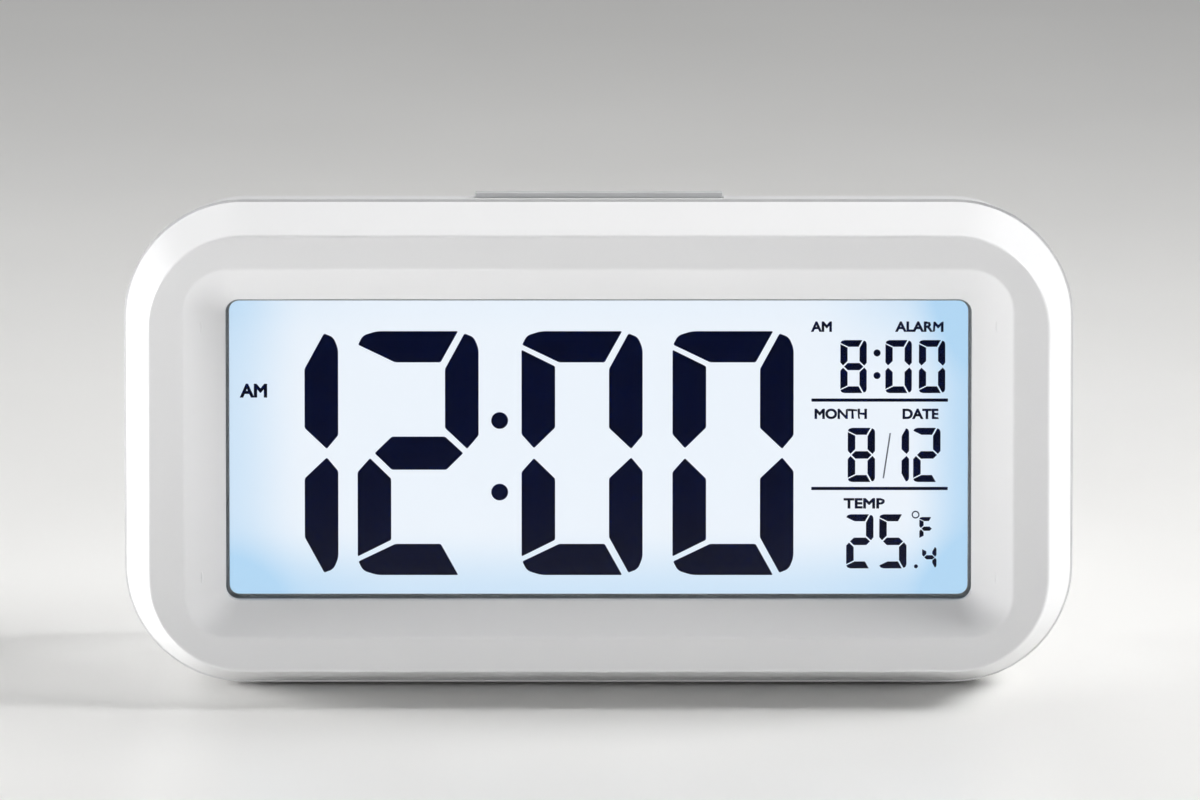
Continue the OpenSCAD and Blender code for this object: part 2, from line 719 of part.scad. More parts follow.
// Rear button: domed cap, flange behind the wall and a short stem on the plunger
module key_button(x) {
    top = case_d + button_out;
    color("silver") leaned() turned(x, z_key, [[0, y_plunger], [button_stem_r, y_plunger],
        [button_stem_r, y_flange], [button_flange_r, y_flange], [button_flange_r, y_flange + flange_t],
        [button_r, y_flange + flange_t], [button_r, top - button_dome],
        [button_r * 0.85, top - button_dome * 0.3], [button_r * 0.5, top], [0, top]]);
}

// Light switch: body on the key board, knob through the rear wall
module slide_switch() {
    color("silver") leaned() difference() {
        block(slide_x + slide_travel / 2, z_key, 9, 4, y_key_board_back, y_slide_top);
        block(slide_x + slide_travel / 2, z_key, lever_w + slide_travel + 2 * move_gap,
            lever_w + 2 * move_gap, y_slide_top - lever_in - clear, y_slide_top + cut);
    }
}
module slide_knob() {
    shield_w = knob_w + 2 * (slide_travel + 1);
    color("#303030") leaned() {
        block(slide_x, z_key, lever_w, lever_w, y_slide_top - lever_in, y_shield + sink);
        block(slide_x, z_key, shield_w, knob_h + 2.4, y_shield, y_shield + shield_t);
        block(slide_x, z_key, knob_w, knob_h, y_shield + shield_t - sink, case_d + knob_out);
    }
}

// Battery cell along x; alternate cells face the other way
module cell(k) {
    flip = k % 2;
    shift = (flip ? -1 : 1) * spring_l / 2;
    profile = [[0, 0], [cell_r - 0.5, 0], [cell_r, 0.4], [cell_r, cell_l - 1.6], [cell_r - 0.5, cell_l - 1.1],
        [1.9, cell_l - 1.1], [1.9, cell_l - 0.2], [1.7, cell_l], [0, cell_l]];
    color(flip ? "orange" : "darkorange") leaned() translate([shift, y_cell, cell_z(k)])
        rotate([0, flip ? -90 : 90, 0]) translate([0, 0, -cell_l / 2]) rotate_extrude() polygon(profile);
}

// Contact plates: a single and a double at each end; the singles reach out through the bay floor
module contact_slot(k) {
    s = k == 0 ? 1 : -1;
    block(s * (bay_l - plate_t) / 2, cell_z(k), plate_t + sink, plate_tab + 2 * sink,
        y_bay_back - cut, y_bay + cut);
}
module battery_plates() {
    y0 = y_bay + 0.6;
    y1 = y0 + plate_h;
    color("silver") leaned() for (s = [-1, 1]) {
        x = s * (bay_l - plate_t) / 2;
        single = s > 0 ? 0 : 2;
        block(x, cell_z(single), plate_t, plate_h, y0, y1);
        block(x, cell_z(single), plate_t, plate_tab, y_bay - plate_reach, y0 + sink);
        block(x, (cell_z(1) + cell_z(2 - single)) / 2, plate_t, plate_h + cell_pitch, y0, y1);
    }
}

// Coned coil springs at the negative ends
module battery_springs() {
    r = 0.35;
    turns = 4;
    steps = 16;
    l = spring_l - 2 * (r + wire_gap);
    base_r = 3.6;
    taper = 1.4;
    color("silver") leaned() for (k = [0 : 2]) {
        s = k % 2 ? 1 : -1;
        path = [for (i = [0 : turns * steps]) let (f = i / (turns * steps), a = 360 * i / steps,
            coil = base_r - taper * f, x = s * (bay_l / 2 - plate_t - r - wire_gap - l * f))
            [x, y_cell + coil * cos(a), cell_z(k) + coil * sin(a)]];
        tube(path, r, [1, 0, 0], 6);
    }
}

// Battery cover: panel that tips on its half-round lower edge, two tabs that swing in behind
// the wall, and a ribbed latch tongue
module battery_cover() {
    z_top = z_cover + cover_h;
    round = 1.2;
    slit = 0.6;
    slit_l = 6;
    grip_h = 5;
    grip_in = 0.7;
    y_tab = y_rear_in - tab_t - 2 * sink;
    tab = [[y_tab, z_cover - tab_out], [y_tab + tab_t, z_cover - tab_out], [y_tab + tab_t, z_hinge + clear],
        [y_cover + sink, z_hinge + clear], [y_cover + sink, z_cover + tab_in], [y_tab, z_cover + tab_in]];
    color("gainsboro") leaned() {
        difference() {
            translate([0, 0, (z_cover + z_top) / 2]) slab(cover_w, cover_h, round, y_cover, case_d);
            block(0, z_cover - cut, cover_w + 2 * cut, 2 * (hinge_r + cut), y_cover - cut, case_d + cut);
            for (s = [-1, 1])
                block(s * tongue_w / 2, z_top - slit_l / 2, slit, slit_l + 2 * cut, y_cover - cut,
                    case_d + cut);
            block(0, z_top - slit - grip_h / 2 - cut, tongue_w - 2, grip_h, case_d - grip_in, case_d + cut);
        }
        translate([-cover_w / 2 + slit, y_hinge, z_hinge]) rotate([0, 90, 0])
            cylinder(r = hinge_r, h = cover_w - 2 * slit);
        for (i = [0 : 2])
            block(0, z_top - slit_l + 0.9 + 1.5 * i, tongue_w - 3, slit, case_d - grip_in - sink,
                case_d - sink);
        for (x = [-tab_x, tab_x]) side_prism(tab, tab_w, x);
    }
}

module buzzer_plate() {
    color("gold") leaned() rod(buzzer_x, buzzer_z, buzzer_r, y_buzzer - buzzer_plate_t, y_buzzer);
}
module buzzer_ceramic() {
    y1 = y_buzzer - buzzer_plate_t;
    color("white") leaned() rod(buzzer_x, buzzer_z, ceramic_r, y1 - buzzer_plate_t, y1);
}

// Temperature sensor: bead on two leads, behind the vents
module thermistor() {
    color("black") leaned() {
        y_bead = y_rear_in - 3;
        translate([vent_x, y_bead, buzzer_z]) sphere(sensor_r);
        for (s = [-1, 1]) rod(vent_x + sensor_r / 2 * s, buzzer_z, 0.22, y_board_back, y_bead - 2 * sink);
    }
}

// Inside wiring, from its solder tab to the main board
module battery_wire(points) {
    leaned() tube(through(points, 4), wire_r, [1, 0, 0.2]);
}
module battery_wire_red() {
    y0 = y_bay - plate_reach - sink;
    z = cell_z(0);
    color("red") battery_wire([[pad_x, y0, z], [pad_x, y0 - 0.9, z + 0.2], [pad_x - 2, y0 - 1.6, z + 3],
        [pad_x - 5, y0 - 1.8, z + 6], [pad_x - 7, y0 - 2.6, z + 7.2], [pad_x - 7, y_pad, z + 7.2]]);
}
module battery_wire_black() {
    y0 = y_bay - plate_reach - sink;
    z = cell_z(2);
    color("black") battery_wire([[-pad_x, y0, z], [-pad_x, y0 - 0.9, z + 0.2],
        [-pad_x + 2, y0 - 1.6, z + 2.4], [-pad_x + 4, y0 - 1.8, z + 4],
        [-pad_x + 6, y0 - 2.6, z + 4.6], [-pad_x + 6, y_pad, z + 4.6]]);
}
module buzzer_wires() {
    y0 = y_buzzer - 2 * buzzer_plate_t - wire_gap;
    red = [[buzzer_x + 3, y0, buzzer_z], [buzzer_x + 3, y0 - 2, buzzer_z],
        [buzzer_x + 4, y0 - 8, buzzer_z + 4], [buzzer_x + 2, y0 - 14, buzzer_z + 6],
        [buzzer_x, y0 - 17.5, buzzer_z + 6], [buzzer_x, y_pad, buzzer_z + 6]];
    black = [[buzzer_x + 8.6, y0 + buzzer_plate_t, buzzer_z], [buzzer_x + 8.6, y0 - 2, buzzer_z],
        [buzzer_x + 8, y0 - 8, buzzer_z + 2], [buzzer_x + 5, y0 - 14, buzzer_z + 5],
        [buzzer_x + 3, y0 - 17.5, buzzer_z + 6], [buzzer_x + 3, y_pad, buzzer_z + 6]];
    color("red") leaned() tube(through(red, 4), buzzer_wire_r, [1, 0, 0.2]);
    color("black") leaned() tube(through(black, 4), buzzer_wire_r, [1, 0, 0.2]);
}

// Flat ribbon between the two boards, in a shallow S
module key_ribbon() {
    t = 0.6;
    l = y_key_board - y_board_back;
    z0 = z_key - 3;
    wave = 2.2;
    line = [for (i = [0 : 12]) let (f = i / 12)
        [y_board_back + l * f, z0 + wave * sin(180 * f) * cos(120 * f)]];
    outline = concat(line, [for (i = [12 : -1 : 0]) line[i] + [0, t]]);
    color("lightgray") leaned() side_prism(outline, 9, (key_x[1] + key_x[2]) / 2 + 1);
}

module case_screws() {
    color("silver") leaned() four(screw_x, screw_z)
        screw(0, 0, screw_seat, case_screw_r, case_screw_l, screw_head_r, screw_head_h);
}

// Feet under the flat of the rear shell
module feet(r, z0, z1) {
    for (x = [-foot_x, foot_x], y = [y_flat_front + foot_inset, y_flat_rear - foot_inset])
        translate([x, y, z0]) cylinder(r = r, h = z1 - z0);
}
module rubber_feet() {
    color("#202020") feet(foot_r, 0, foot_h);
}

front_shell();
rear_shell();
display_window();
front_polarizer();
lcd_front_glass();
lcd_rear_glass();
rear_polarizer();
diffuser_sheet();
light_guide();
reflector_sheet();
backlight_leds();
lcd_holder();
zebra_strips();
main_board();
chip_cover();
quartz_crystal();
chip_resistors();
chip_capacitors();
power_capacitor();
board_screws();
snooze_switch();
snooze_plunger();
snooze_bar();
key_board();
key_board_screws();
slide_switch();
slide_knob();
battery_plates();
battery_springs();
battery_cover();
buzzer_plate();
buzzer_ceramic();
thermistor();
battery_wire_red();
battery_wire_black();
buzzer_wires();
key_ribbon();
case_screws();
rubber_feet();
for (i = [0 : 3]) {
    key_switch(key_x[i]);
    key_plunger(key_x[i]);
    key_button(key_x[i]);
}
for (k = [0 : 2])
    cell(k);
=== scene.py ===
"""Desk alarm clock: the visual model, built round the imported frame.

Sizes in the classes are millimetres in the case's own axes: x across, y into the case from
the front rim, z up the face from its middle. CaseFrame.place turns them into the frame's metres.
"""

import logging
import math
from dataclasses import dataclass, field
from enum import Enum

import bmesh
import bpy
import numpy as np
from mathutils import Matrix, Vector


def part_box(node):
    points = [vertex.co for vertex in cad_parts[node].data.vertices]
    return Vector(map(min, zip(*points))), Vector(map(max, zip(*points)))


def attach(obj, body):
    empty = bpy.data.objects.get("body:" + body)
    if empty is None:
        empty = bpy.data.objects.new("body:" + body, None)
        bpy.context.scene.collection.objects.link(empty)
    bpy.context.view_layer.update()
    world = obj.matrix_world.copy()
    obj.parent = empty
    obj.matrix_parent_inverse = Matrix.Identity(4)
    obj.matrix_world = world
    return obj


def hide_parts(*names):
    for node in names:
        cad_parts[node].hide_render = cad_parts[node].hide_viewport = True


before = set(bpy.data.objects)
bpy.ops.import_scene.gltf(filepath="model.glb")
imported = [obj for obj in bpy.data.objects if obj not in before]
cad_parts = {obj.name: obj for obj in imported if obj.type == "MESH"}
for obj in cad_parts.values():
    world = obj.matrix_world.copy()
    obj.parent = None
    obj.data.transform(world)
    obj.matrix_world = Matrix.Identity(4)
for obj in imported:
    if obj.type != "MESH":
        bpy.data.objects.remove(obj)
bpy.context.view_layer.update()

Array = np.ndarray
Face = tuple[int, ...]
Colour = tuple[float, float, float]
log = logging.getLogger("alarm_clock")

MM = 0.001
CORNER_STEPS = 28
TURN_STEPS = 64


# ---------------------------------------------------------------- shapes


@dataclass(frozen=True)
class CaseFrame:
    """The leaned case's axes in the world.

    Attributes:
        lean: backward lean of the face, in radians.
        origin: the face's middle in the world, in metres.
    """

    lean: float
    origin: Array

    @classmethod
    def from_window(cls, lean_deg: float, depth: float) -> "CaseFrame":
        """Finds the frame from the window's CAD box.

        Args:
            lean_deg: lean of the face in degrees.
            depth: depth of the window's middle behind the rim, in mm.

        Returns:
            The frame whose window is centred on that box.
        """
        low, high = (np.array(corner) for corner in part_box("display_window"))
        lean = math.radians(lean_deg)
        inwards = np.array([0.0, math.cos(lean), -math.sin(lean)])
        return cls(lean, (low + high) / 2 - inwards * depth * MM)

    def place(self, points: Array) -> Array:
        """Turns case millimetres into world metres.

        Args:
            points: any array whose last axis is x, y, z in mm.

        Returns:
            The array in metres: turned by the lean about X, then moved to the origin.
        """
        c, s = math.cos(self.lean), math.sin(self.lean)
        turn = np.array([[1, 0, 0], [0, c, s], [0, -s, c]])
        return points * MM @ turn.T + self.origin


@dataclass
class Surface:
    """Vertices and faces of one closed surface in case millimetres."""

    points: Array
    faces: list[Face]

    def __add__(self, other: "Surface") -> "Surface":
        """Both surfaces as one mesh."""
        start = len(self.points)
        moved = [tuple(i + start for i in face) for face in other.faces]
        return Surface(np.vstack([self.points, other.points]), self.faces + moved)


def soften(keys: Array, reach: Array, steps: int = 6) -> Array:
    """Rounds the corners of a closed path in any number of dimensions.

    Each corner P becomes the curve (1-t)^2 A + 2t(1-t) P + t^2 B, where A and B lie `reach`
    away from P along its two sides, with one support point just outside each of them.

    Args:
        keys: (k, d) corners; distances are measured in the first two dimensions.
        reach: (k,) distance from the corner to each end of its curve.
        steps: steps along each curve.

    Returns:
        (k * (steps + 3), d) points.
    """
    sides = []
    for shift in (1, -1):
        away = np.roll(keys, shift, axis=0) - keys
        length = np.linalg.norm(away[:, :2], axis=1)
        share = np.minimum(reach / np.maximum(length, 1e-9), 0.42)
        sides.append((away, share[:, None]))
    (back, back_share), (ahead, ahead_share) = sides
    t = np.linspace(0, 1, steps + 1)[None, :, None]
    a = (keys + back * back_share)[:, None]
    b = (keys + ahead * ahead_share)[:, None]
    curve = (1 - t) ** 2 * a + 2 * t * (1 - t) * keys[:, None] + t**2 * b
    before = (keys + back * np.minimum(back_share * 1.5, 0.48))[:, None]
    after = (keys + ahead * np.minimum(ahead_share * 1.5, 0.48))[:, None]
    return np.concatenate([before, curve, after], axis=1).reshape(-1, keys.shape[1])


def rounded_rings(width: Array, height: Array, radius: Array, steps: int = CORNER_STEPS) -> Array:
    """Outlines of rounded rectangles, anticlockwise.

    A point is its corner's centre (+-(w/2 - r), +-(h/2 - r)) plus r (cos a, sin a), with a
    running through that corner's quarter turn.

    Args:
        width, height, radius: (m,) sizes of each outline.
        steps: steps in each corner.

    Returns:
        (m, 4 * (steps + 1), 2) points.
    """
    w, h, r = (np.asarray(v, float)[:, None, None] for v in (width, height, radius))
    angle = (np.linspace(0, 1, steps + 1)[None, :] + np.arange(4)[:, None]) * math.pi / 2
    sx = np.array([1, -1, -1, 1])[None, :, None]
    sz = np.array([1, 1, -1, -1])[None, :, None]
    x = sx * (w / 2 - r) + r * np.cos(angle)
    z = sz * (h / 2 - r) + r * np.sin(angle)
    return np.stack([x, z], axis=-1).reshape(x.shape[0], -1, 2)


def skin(rows: Array, loop: bool = False) -> Surface:
    """Quads between neighbouring rows, where each row closes on itself.

    Args:
        rows: (m, n, 3) grid of points.
        loop: joins the last row to the first; otherwise both end rows are capped.

    Returns:
        The closed surface.
    """
    m, n = rows.shape[:2]
    i = np.arange(m if loop else m - 1)[:, None]
    j = np.arange(n)[None, :]
    after = (j + 1) % n
    ahead = (i + 1) % m
    quads = np.stack([i * n + j, ahead * n + j, ahead * n + after, i * n + after], -1)
    faces: list[Face] = [tuple(q) for q in quads.reshape(-1, 4).tolist()]
    if not loop:
        faces += [tuple(range(n)), tuple(range(m * n - 1, (m - 1) * n - 1, -1))]
    return Surface(rows.reshape(-1, 3), faces)


def loft(keys: Array, reach: Array, steps: int = 6) -> Surface:
    """Ring-shaped moulding from a closed section of rounded rectangles.

    Args:
        keys: (k, 4) rows of depth, half width, half height and corner radius.
        reach: (k,) softening of each key's edge.
        steps: steps in each softened edge.

    Returns:
        The closed ring.
    """
    section = soften(keys, reach, steps)
    flat = rounded_rings(2 * section[:, 1], 2 * section[:, 2], section[:, 3])
    depth = np.broadcast_to(section[:, None, :1], flat.shape[:2] + (1,))
    return skin(np.concatenate([flat[..., :1], depth, flat[..., 1:]], axis=-1), loop=True)


def plate(outline: Array, y0: float, y1: float, edge: float = 0.0) -> Surface:
    """Flat plate of any outline, its rims stepped in by a small chamfer.

    Args:
        outline: (n, 2) x and z, anticlockwise.
        y0: depth of the front face.
        y1: depth of the back face.
        edge: chamfer, as a shrink towards the outline's middle.

    Returns:
        The closed plate.
    """
    middle = outline.mean(axis=0)
    size = np.ptp(outline, axis=0)
    inner = middle + (outline - middle) * (1 - 2 * edge / np.maximum(size, 1e-6))
    flat = np.stack([inner, outline, outline, inner] if edge else [outline, outline])
    depth = np.array([y0, y0 + edge, y1 - edge, y1] if edge else [y0, y1])
    depth = np.broadcast_to(depth[:, None, None], flat.shape[:2] + (1,))
    return skin(np.concatenate([flat[..., :1], depth, flat[..., 1:]], axis=-1))


class Axis(Enum):
    """Axis that a turned shape goes round: its direction, then the two across it."""

    X = (0, 1, 2)
    Y = (1, 0, 2)
    Z = (2, 0, 1)


def turned(profile: Array, centre: tuple[float, float, float], axis: Axis = Axis.Y,
           steps: int = TURN_STEPS) -> Surface:
    """Surface of revolution with a pole at each end.

    A point is centre + height along the axis + radius (cos a, sin a) across it.

    Args:
        profile: (k, 2) radius and height; the first and last radius are the poles' and are ignored.
        centre: a point on the axis.
        axis: the axis of revolution.
        steps: steps in the full turn.

    Returns:
        The closed surface.
    """
    along, u, v = axis.value
    angle = np.arange(steps) * 2 * math.pi / steps
    body = profile[1:-1]
    rows = np.zeros((len(body), steps, 3))
    rows[..., along] = body[:, 1:]
    rows[..., u] = body[:, :1] * np.cos(angle)
    rows[..., v] = body[:, :1] * np.sin(angle)
    shape = skin(rows)
    count = len(shape.points)
    poles = np.zeros((2, 3))
    poles[:, along] = profile[[0, -1], 1]
    first = [(i, (i + 1) % steps, count) for i in range(steps)]
    start = count - steps
    last = [(start + (i + 1) % steps, start + i, count + 1) for i in range(steps)]
    points = np.vstack([shape.points, poles]) + np.array(centre)
    return Surface(points, shape.faces[:-2] + first + last)


def rounded_profile(corners: list[tuple[float, float]], reach: float, steps: int = 4) -> Array:
    """Profile for turned(): an open path from pole to pole with softened corners.

    Args:
        corners: radius and height of each corner, pole to pole.
        reach: softening of every corner between the poles.
        steps: steps in each softened corner.

    Returns:
        (k, 2) radius and height.
    """
    keys = np.array(corners, float)
    soft = soften(keys, np.full(len(keys), reach), steps)
    inside = soft[steps + 3 : -(steps + 3)]
    return np.vstack([keys[:1], inside, keys[-1:]])


def tube(path: Array, radius: Array | float, sides: int = 12) -> Surface:
    """Round tube along a path.

    Each ring lies across the path's tangent, turned so that one side follows a fixed
    direction that the path never takes.

    Args:
        path: (m, 3) points.
        radius: radius, or one for each point.
        sides: sides of the tube.

    Returns:
        The closed tube.
    """
    tangent = np.gradient(path, axis=0)
    tangent /= np.linalg.norm(tangent, axis=1, keepdims=True)
    u = np.cross(tangent, np.array([0.31, 0.17, 0.94]))
    u /= np.linalg.norm(u, axis=1, keepdims=True)
    v = np.cross(tangent, u)
    angle = np.arange(sides) * 2 * math.pi / sides
    r = np.broadcast_to(radius, (len(path),))[:, None, None]
    around = np.cos(angle)[None, :, None] * u[:, None] + np.sin(angle)[None, :, None] * v[:, None]
    return skin(path[:, None] + r * around)


def disc_outline(x: float, z: float, radius: float, steps: int = 40) -> Array:
    """Circle as an outline: centre + radius (cos a, sin a)."""
    angle = np.arange(steps) * 2 * math.pi / steps
    return np.stack([x + radius * np.cos(angle), z + radius * np.sin(angle)], axis=-1)


def bar_outline(x0: float, x1: float, z0: float, z1: float, radius: float) -> Array:
    """Upright rounded rectangle between two corners, as an outline."""
    ring = rounded_rings(np.array([x1 - x0]), np.array([z1 - z0]), np.array([radius]), 6)[0]
    return ring + np.array([(x0 + x1) / 2, (z0 + z1) / 2])


# ---------------------------------------------------------------- finishes


class Graph:
    """Short-hand for building one material's node graph."""

    def __init__(self, name: str) -> None:
        """Starts an empty material with its output and shader.

        Args:
            name: the material's name.
        """
        self.material = bpy.data.materials.new(name)
        self.material.use_nodes = True
        self.tree = self.material.node_tree
        self.shader = self.tree.nodes["Principled BSDF"]
        self.coords = self.tree.nodes.new("ShaderNodeTexCoord").outputs["Object"]

    def node(self, kind: str, **settings: object) -> bpy.types.Node:
        """Adds a node to the graph.

        Args:
            kind: the node's type.
            settings: attributes of the node, or its inputs where a name has a capital.

        Returns:
            The node.
        """
        made = self.tree.nodes.new(kind)
        for key, value in settings.items():
            if key[0].isupper():
                made.inputs[key.replace("_", " ")].default_value = value
            else:
                setattr(made, key, value)
        return made

    def join(self, source: bpy.types.NodeSocket, target: bpy.types.NodeSocket) -> None:
        """Links two sockets."""
        self.tree.links.new(source, target)

    def noise(self, size_mm: float, detail: float = 3.0) -> bpy.types.NodeSocket:
        """Noise in object space.

        Args:
            size_mm: width of its blotches.
            detail: finer layers added to it.

        Returns:
            Its value, 0 to 1.
        """
        made = self.node("ShaderNodeTexNoise", Scale=1.0 / (size_mm * MM), Detail=detail)
        self.join(self.coords, made.inputs["Vector"])
        return made.outputs["Fac"]

    def span(self, source: bpy.types.NodeSocket, low: float, high: float) -> bpy.types.NodeSocket:
        """Maps 0 to 1 onto another span.

        Args:
            source: the value.
            low, high: ends of the span.

        Returns:
            The mapped value.
        """
        made = self.node("ShaderNodeMapRange")
        made.inputs["To Min"].default_value = low
        made.inputs["To Max"].default_value = high
        self.join(source, made.inputs["Value"])
        return made.outputs["Result"]

    def step(self, source: bpy.types.NodeSocket, start: float, end: float,
             height: float) -> bpy.types.NodeSocket:
        """Smooth step from 0.

        Args:
            source: the value that the step runs over.
            start, end: where the step starts and ends.
            height: the result at the end.

        Returns:
            The step.
        """
        made = self.node("ShaderNodeMapRange", interpolation_type="SMOOTHSTEP")
        made.inputs["From Min"].default_value = start
        made.inputs["From Max"].default_value = end
        made.inputs["To Max"].default_value = height
        self.join(source, made.inputs["Value"])
        return made.outputs["Result"]

    def maths(self, operation: str, first: bpy.types.NodeSocket,
              second: bpy.types.NodeSocket) -> bpy.types.NodeSocket:
        """Arithmetic on two values.

        Args:
            operation: ADD or MULTIPLY.
            first, second: the values.

        Returns:
            The result.
        """
        made = self.node("ShaderNodeMath", operation=operation)
        self.join(first, made.inputs[0])
        self.join(second, made.inputs[1])
        return made.outputs["Value"]

    def tint(self, source: bpy.types.NodeSocket, dark: Colour, light: Colour,
             low: float = 0.3, high: float = 0.7) -> bpy.types.NodeSocket:
        """Colour ramp between two colours.

        Args:
            source: the value that picks the colour.
            dark, light: the colours at its low and high end.
            low, high: the values at which they are reached.

        Returns:
            The colour.
        """
        made = self.node("ShaderNodeValToRGB")
        ramp = made.color_ramp
        ramp.elements[0].position, ramp.elements[0].color = low, (*dark, 1)
        ramp.elements[1].position, ramp.elements[1].color = high, (*light, 1)
        self.join(source, made.inputs["Fac"])
        return made.outputs["Color"]

    def bump(self, source: bpy.types.NodeSocket, height_mm: float, strength: float = 1.0) -> None:
        """Bump of the shader's normal.

        Args:
            source: the height, 0 to 1.
            height_mm: what 1 stands for.
            strength: share of the bump that shows.
        """
        made = self.node("ShaderNodeBump", Strength=strength, Distance=height_mm * MM)
        self.join(source, made.inputs["Height"])
        self.join(made.outputs["Normal"], self.shader.inputs["Normal"])

    def settle(self, **values: object) -> bpy.types.Material:
        """Sets the shader's own sockets.

        Args:
            values: socket values by name, with _ for a space.

        Returns:
            The finished material.
        """
        for key, value in values.items():
            self.shader.inputs[key.replace("_", " ")].default_value = value
        return self.material


@dataclass(frozen=True)
class MouldedPlastic:
    """Moulded plastic: fine spark-eroded grain, slight tone drift, satin shine."""

    name: str
    colour: Colour
    roughness: float = 0.42
    grain_mm: float = 0.28
    grain_height_mm: float = 0.004
    drift: float = 0.012
    coat: float = 0.0

    def build(self) -> bpy.types.Material:
        """Colour drifts over centimetres, roughness over millimetres, grain is a bump."""
        g = Graph(self.name)
        dark = tuple(c * (1 - self.drift) for c in self.colour)
        g.join(g.tint(g.noise(38.0, 2.0), dark, self.colour), g.shader.inputs["Base Color"])
        rough = g.span(g.noise(6.0, 4.0), self.roughness - 0.03, self.roughness + 0.03)
        g.join(rough, g.shader.inputs["Roughness"])
        g.bump(g.noise(self.grain_mm, 2.0), self.grain_height_mm)
        return g.settle(IOR=1.49, Coat_Weight=self.coat, Coat_Roughness=0.15)


@dataclass(frozen=True)
class ClearPlate:
    """Clear polished sheet: water-clear, with the faintest ripple in its surface."""

    name: str
    colour: Colour = (1.0, 1.0, 1.0)
    roughness: float = 0.0

    def build(self) -> bpy.types.Material:
        """Transmission with a very shallow, wide bump."""
        g = Graph(self.name)
        g.bump(g.noise(14.0, 1.0), 0.0012, 0.6)
        return g.settle(Base_Color=(*self.colour, 1), Roughness=self.roughness, IOR=1.45,
                        Transmission_Weight=1.0, Specular_IOR_Level=0.015)


@dataclass(frozen=True)
class Fade:
    """Blue shade that grows towards one side of the lit face.

    Attributes:
        axis: the face's axis across that side, X or Z.
        edge: the side's place on that axis, in mm from the middle.
        width: where the narrow shade starts, in mm from the side.
        depth: strength of the narrow shade at the side.
        reach: where the wide shade, seen only in the corners, starts.
    """

    axis: str
    edge: float
    width: float
    depth: float
    reach: float


@dataclass(frozen=True)
class LitDisplay:
    """Edge-lit LCD face: near white in the middle, sky blue towards its borders.

    Attributes:
        middle: glow at the middle.
        border: glow at the borders.
        fades: left, right, top and bottom shades.
        corners: strength of the corner shades, by side and by top or bottom.
    """

    name: str
    case: CaseFrame
    middle: Colour
    border: Colour
    fades: tuple[Fade, Fade, Fade, Fade]
    corners: dict[tuple[int, int], float]
    strength: float = 1.045

    def build(self) -> bpy.types.Material:
        """Shade is the sum of each side's smooth step and of wide steps multiplied in the corners."""
        g = Graph(self.name)
        centred = g.node("ShaderNodeMapping", vector_type="TEXTURE")
        centred.inputs["Location"].default_value = self.case.origin.tolist()
        centred.inputs["Rotation"].default_value = (-self.case.lean, 0, 0)
        centred.inputs["Scale"].default_value = (MM, MM, MM)
        g.join(g.coords, centred.inputs["Vector"])
        axes = g.node("ShaderNodeSeparateXYZ")
        g.join(centred.outputs["Vector"], axes.inputs[0])
        wide, shades = [], []
        for fade in self.fades:
            place = axes.outputs[fade.axis]
            inwards = -math.copysign(1, fade.edge)
            shades.append(g.step(place, fade.edge + inwards * fade.width, fade.edge, fade.depth))
            wide.append(g.step(place, fade.edge + inwards * fade.reach, fade.edge, 1.0))
        for (side, end), depth in self.corners.items():
            both = g.maths("MULTIPLY", wide[side], wide[end])
            shades.append(g.span(both, 0.0, depth))
        total = shades[0]
        for shade in shades[1:]:
            total = g.maths("ADD", total, shade)
        glow = g.tint(total, self.middle, self.border, 0.0, 1.0)
        g.join(glow, g.shader.inputs["Emission Color"])
        g.bump(g.noise(0.4, 2.0), 0.0004, 0.4)
        return g.settle(Base_Color=(0.02, 0.03, 0.04, 1), Roughness=0.5, Specular_IOR_Level=0.1,
                        Emission_Strength=self.strength)


@dataclass(frozen=True)
class Ink:
    """Dark liquid-crystal or printing ink, flat with a trace of mottling."""

    name: str
    colour: Colour
    roughness: float = 0.45

    def build(self) -> bpy.types.Material:
        """Colour mottles over a few tenths of a millimetre."""
        g = Graph(self.name)
        light = tuple(min(1.0, c * 1.12 + 0.0008) for c in self.colour)
        g.join(g.tint(g.noise(0.5, 2.0), self.colour, light), g.shader.inputs["Base Color"])
        return g.settle(Roughness=self.roughness, Specular_IOR_Level=0.0)


@dataclass(frozen=True)
class Metal:
    """Plated or sheet metal with fine drawn lines and slight tarnish."""

    name: str
    colour: Colour
    roughness: float = 0.3
    line_mm: float = 0.15

    def build(self) -> bpy.types.Material:
        """Tarnish darkens the colour; stretched noise makes the drawn lines."""
        g = Graph(self.name)
        dark = tuple(c * 0.82 for c in self.colour)
        g.join(g.tint(g.noise(3.0, 4.0), dark, self.colour), g.shader.inputs["Base Color"])
        stretch = g.node("ShaderNodeMapping")
        stretch.inputs["Scale"].default_value = (0.08, 1.0, 1.0)
        g.join(g.coords, stretch.inputs["Vector"])
        lines = g.node("ShaderNodeTexNoise", Scale=1.0 / (self.line_mm * MM), Detail=2.0)
        g.join(stretch.outputs["Vector"], lines.inputs["Vector"])
        rough = g.span(lines.outputs["Fac"], self.roughness - 0.08, self.roughness + 0.12)
        g.join(rough, g.shader.inputs["Roughness"])
        g.bump(lines.outputs["Fac"], 0.003, 0.5)
        return g.settle(Metallic=1.0)


@dataclass(frozen=True)
class BoardFinish:
    """Solder-masked circuit board with copper tracks and tinned pads under the mask."""

    name: str
    mask: Colour = (0.012, 0.11, 0.035)
    track: Colour = (0.03, 0.21, 0.07)

    def build(self) -> bpy.types.Material:
        """Blocky cells in the board's plane show as lighter tracks."""
        g = Graph(self.name)
        cells = g.node("ShaderNodeTexVoronoi", feature="DISTANCE_TO_EDGE", Scale=520.0)
        cells.inputs["Randomness"].default_value = 0.65
        g.join(g.coords, cells.inputs["Vector"])
        g.join(g.tint(cells.outputs["Distance"], self.track, self.mask, 0.04, 0.09),
               g.shader.inputs["Base Color"])
        g.bump(cells.outputs["Distance"], 0.02, 0.3)
        return g.settle(Roughness=0.32, Coat_Weight=0.4, Coat_Roughness=0.2)


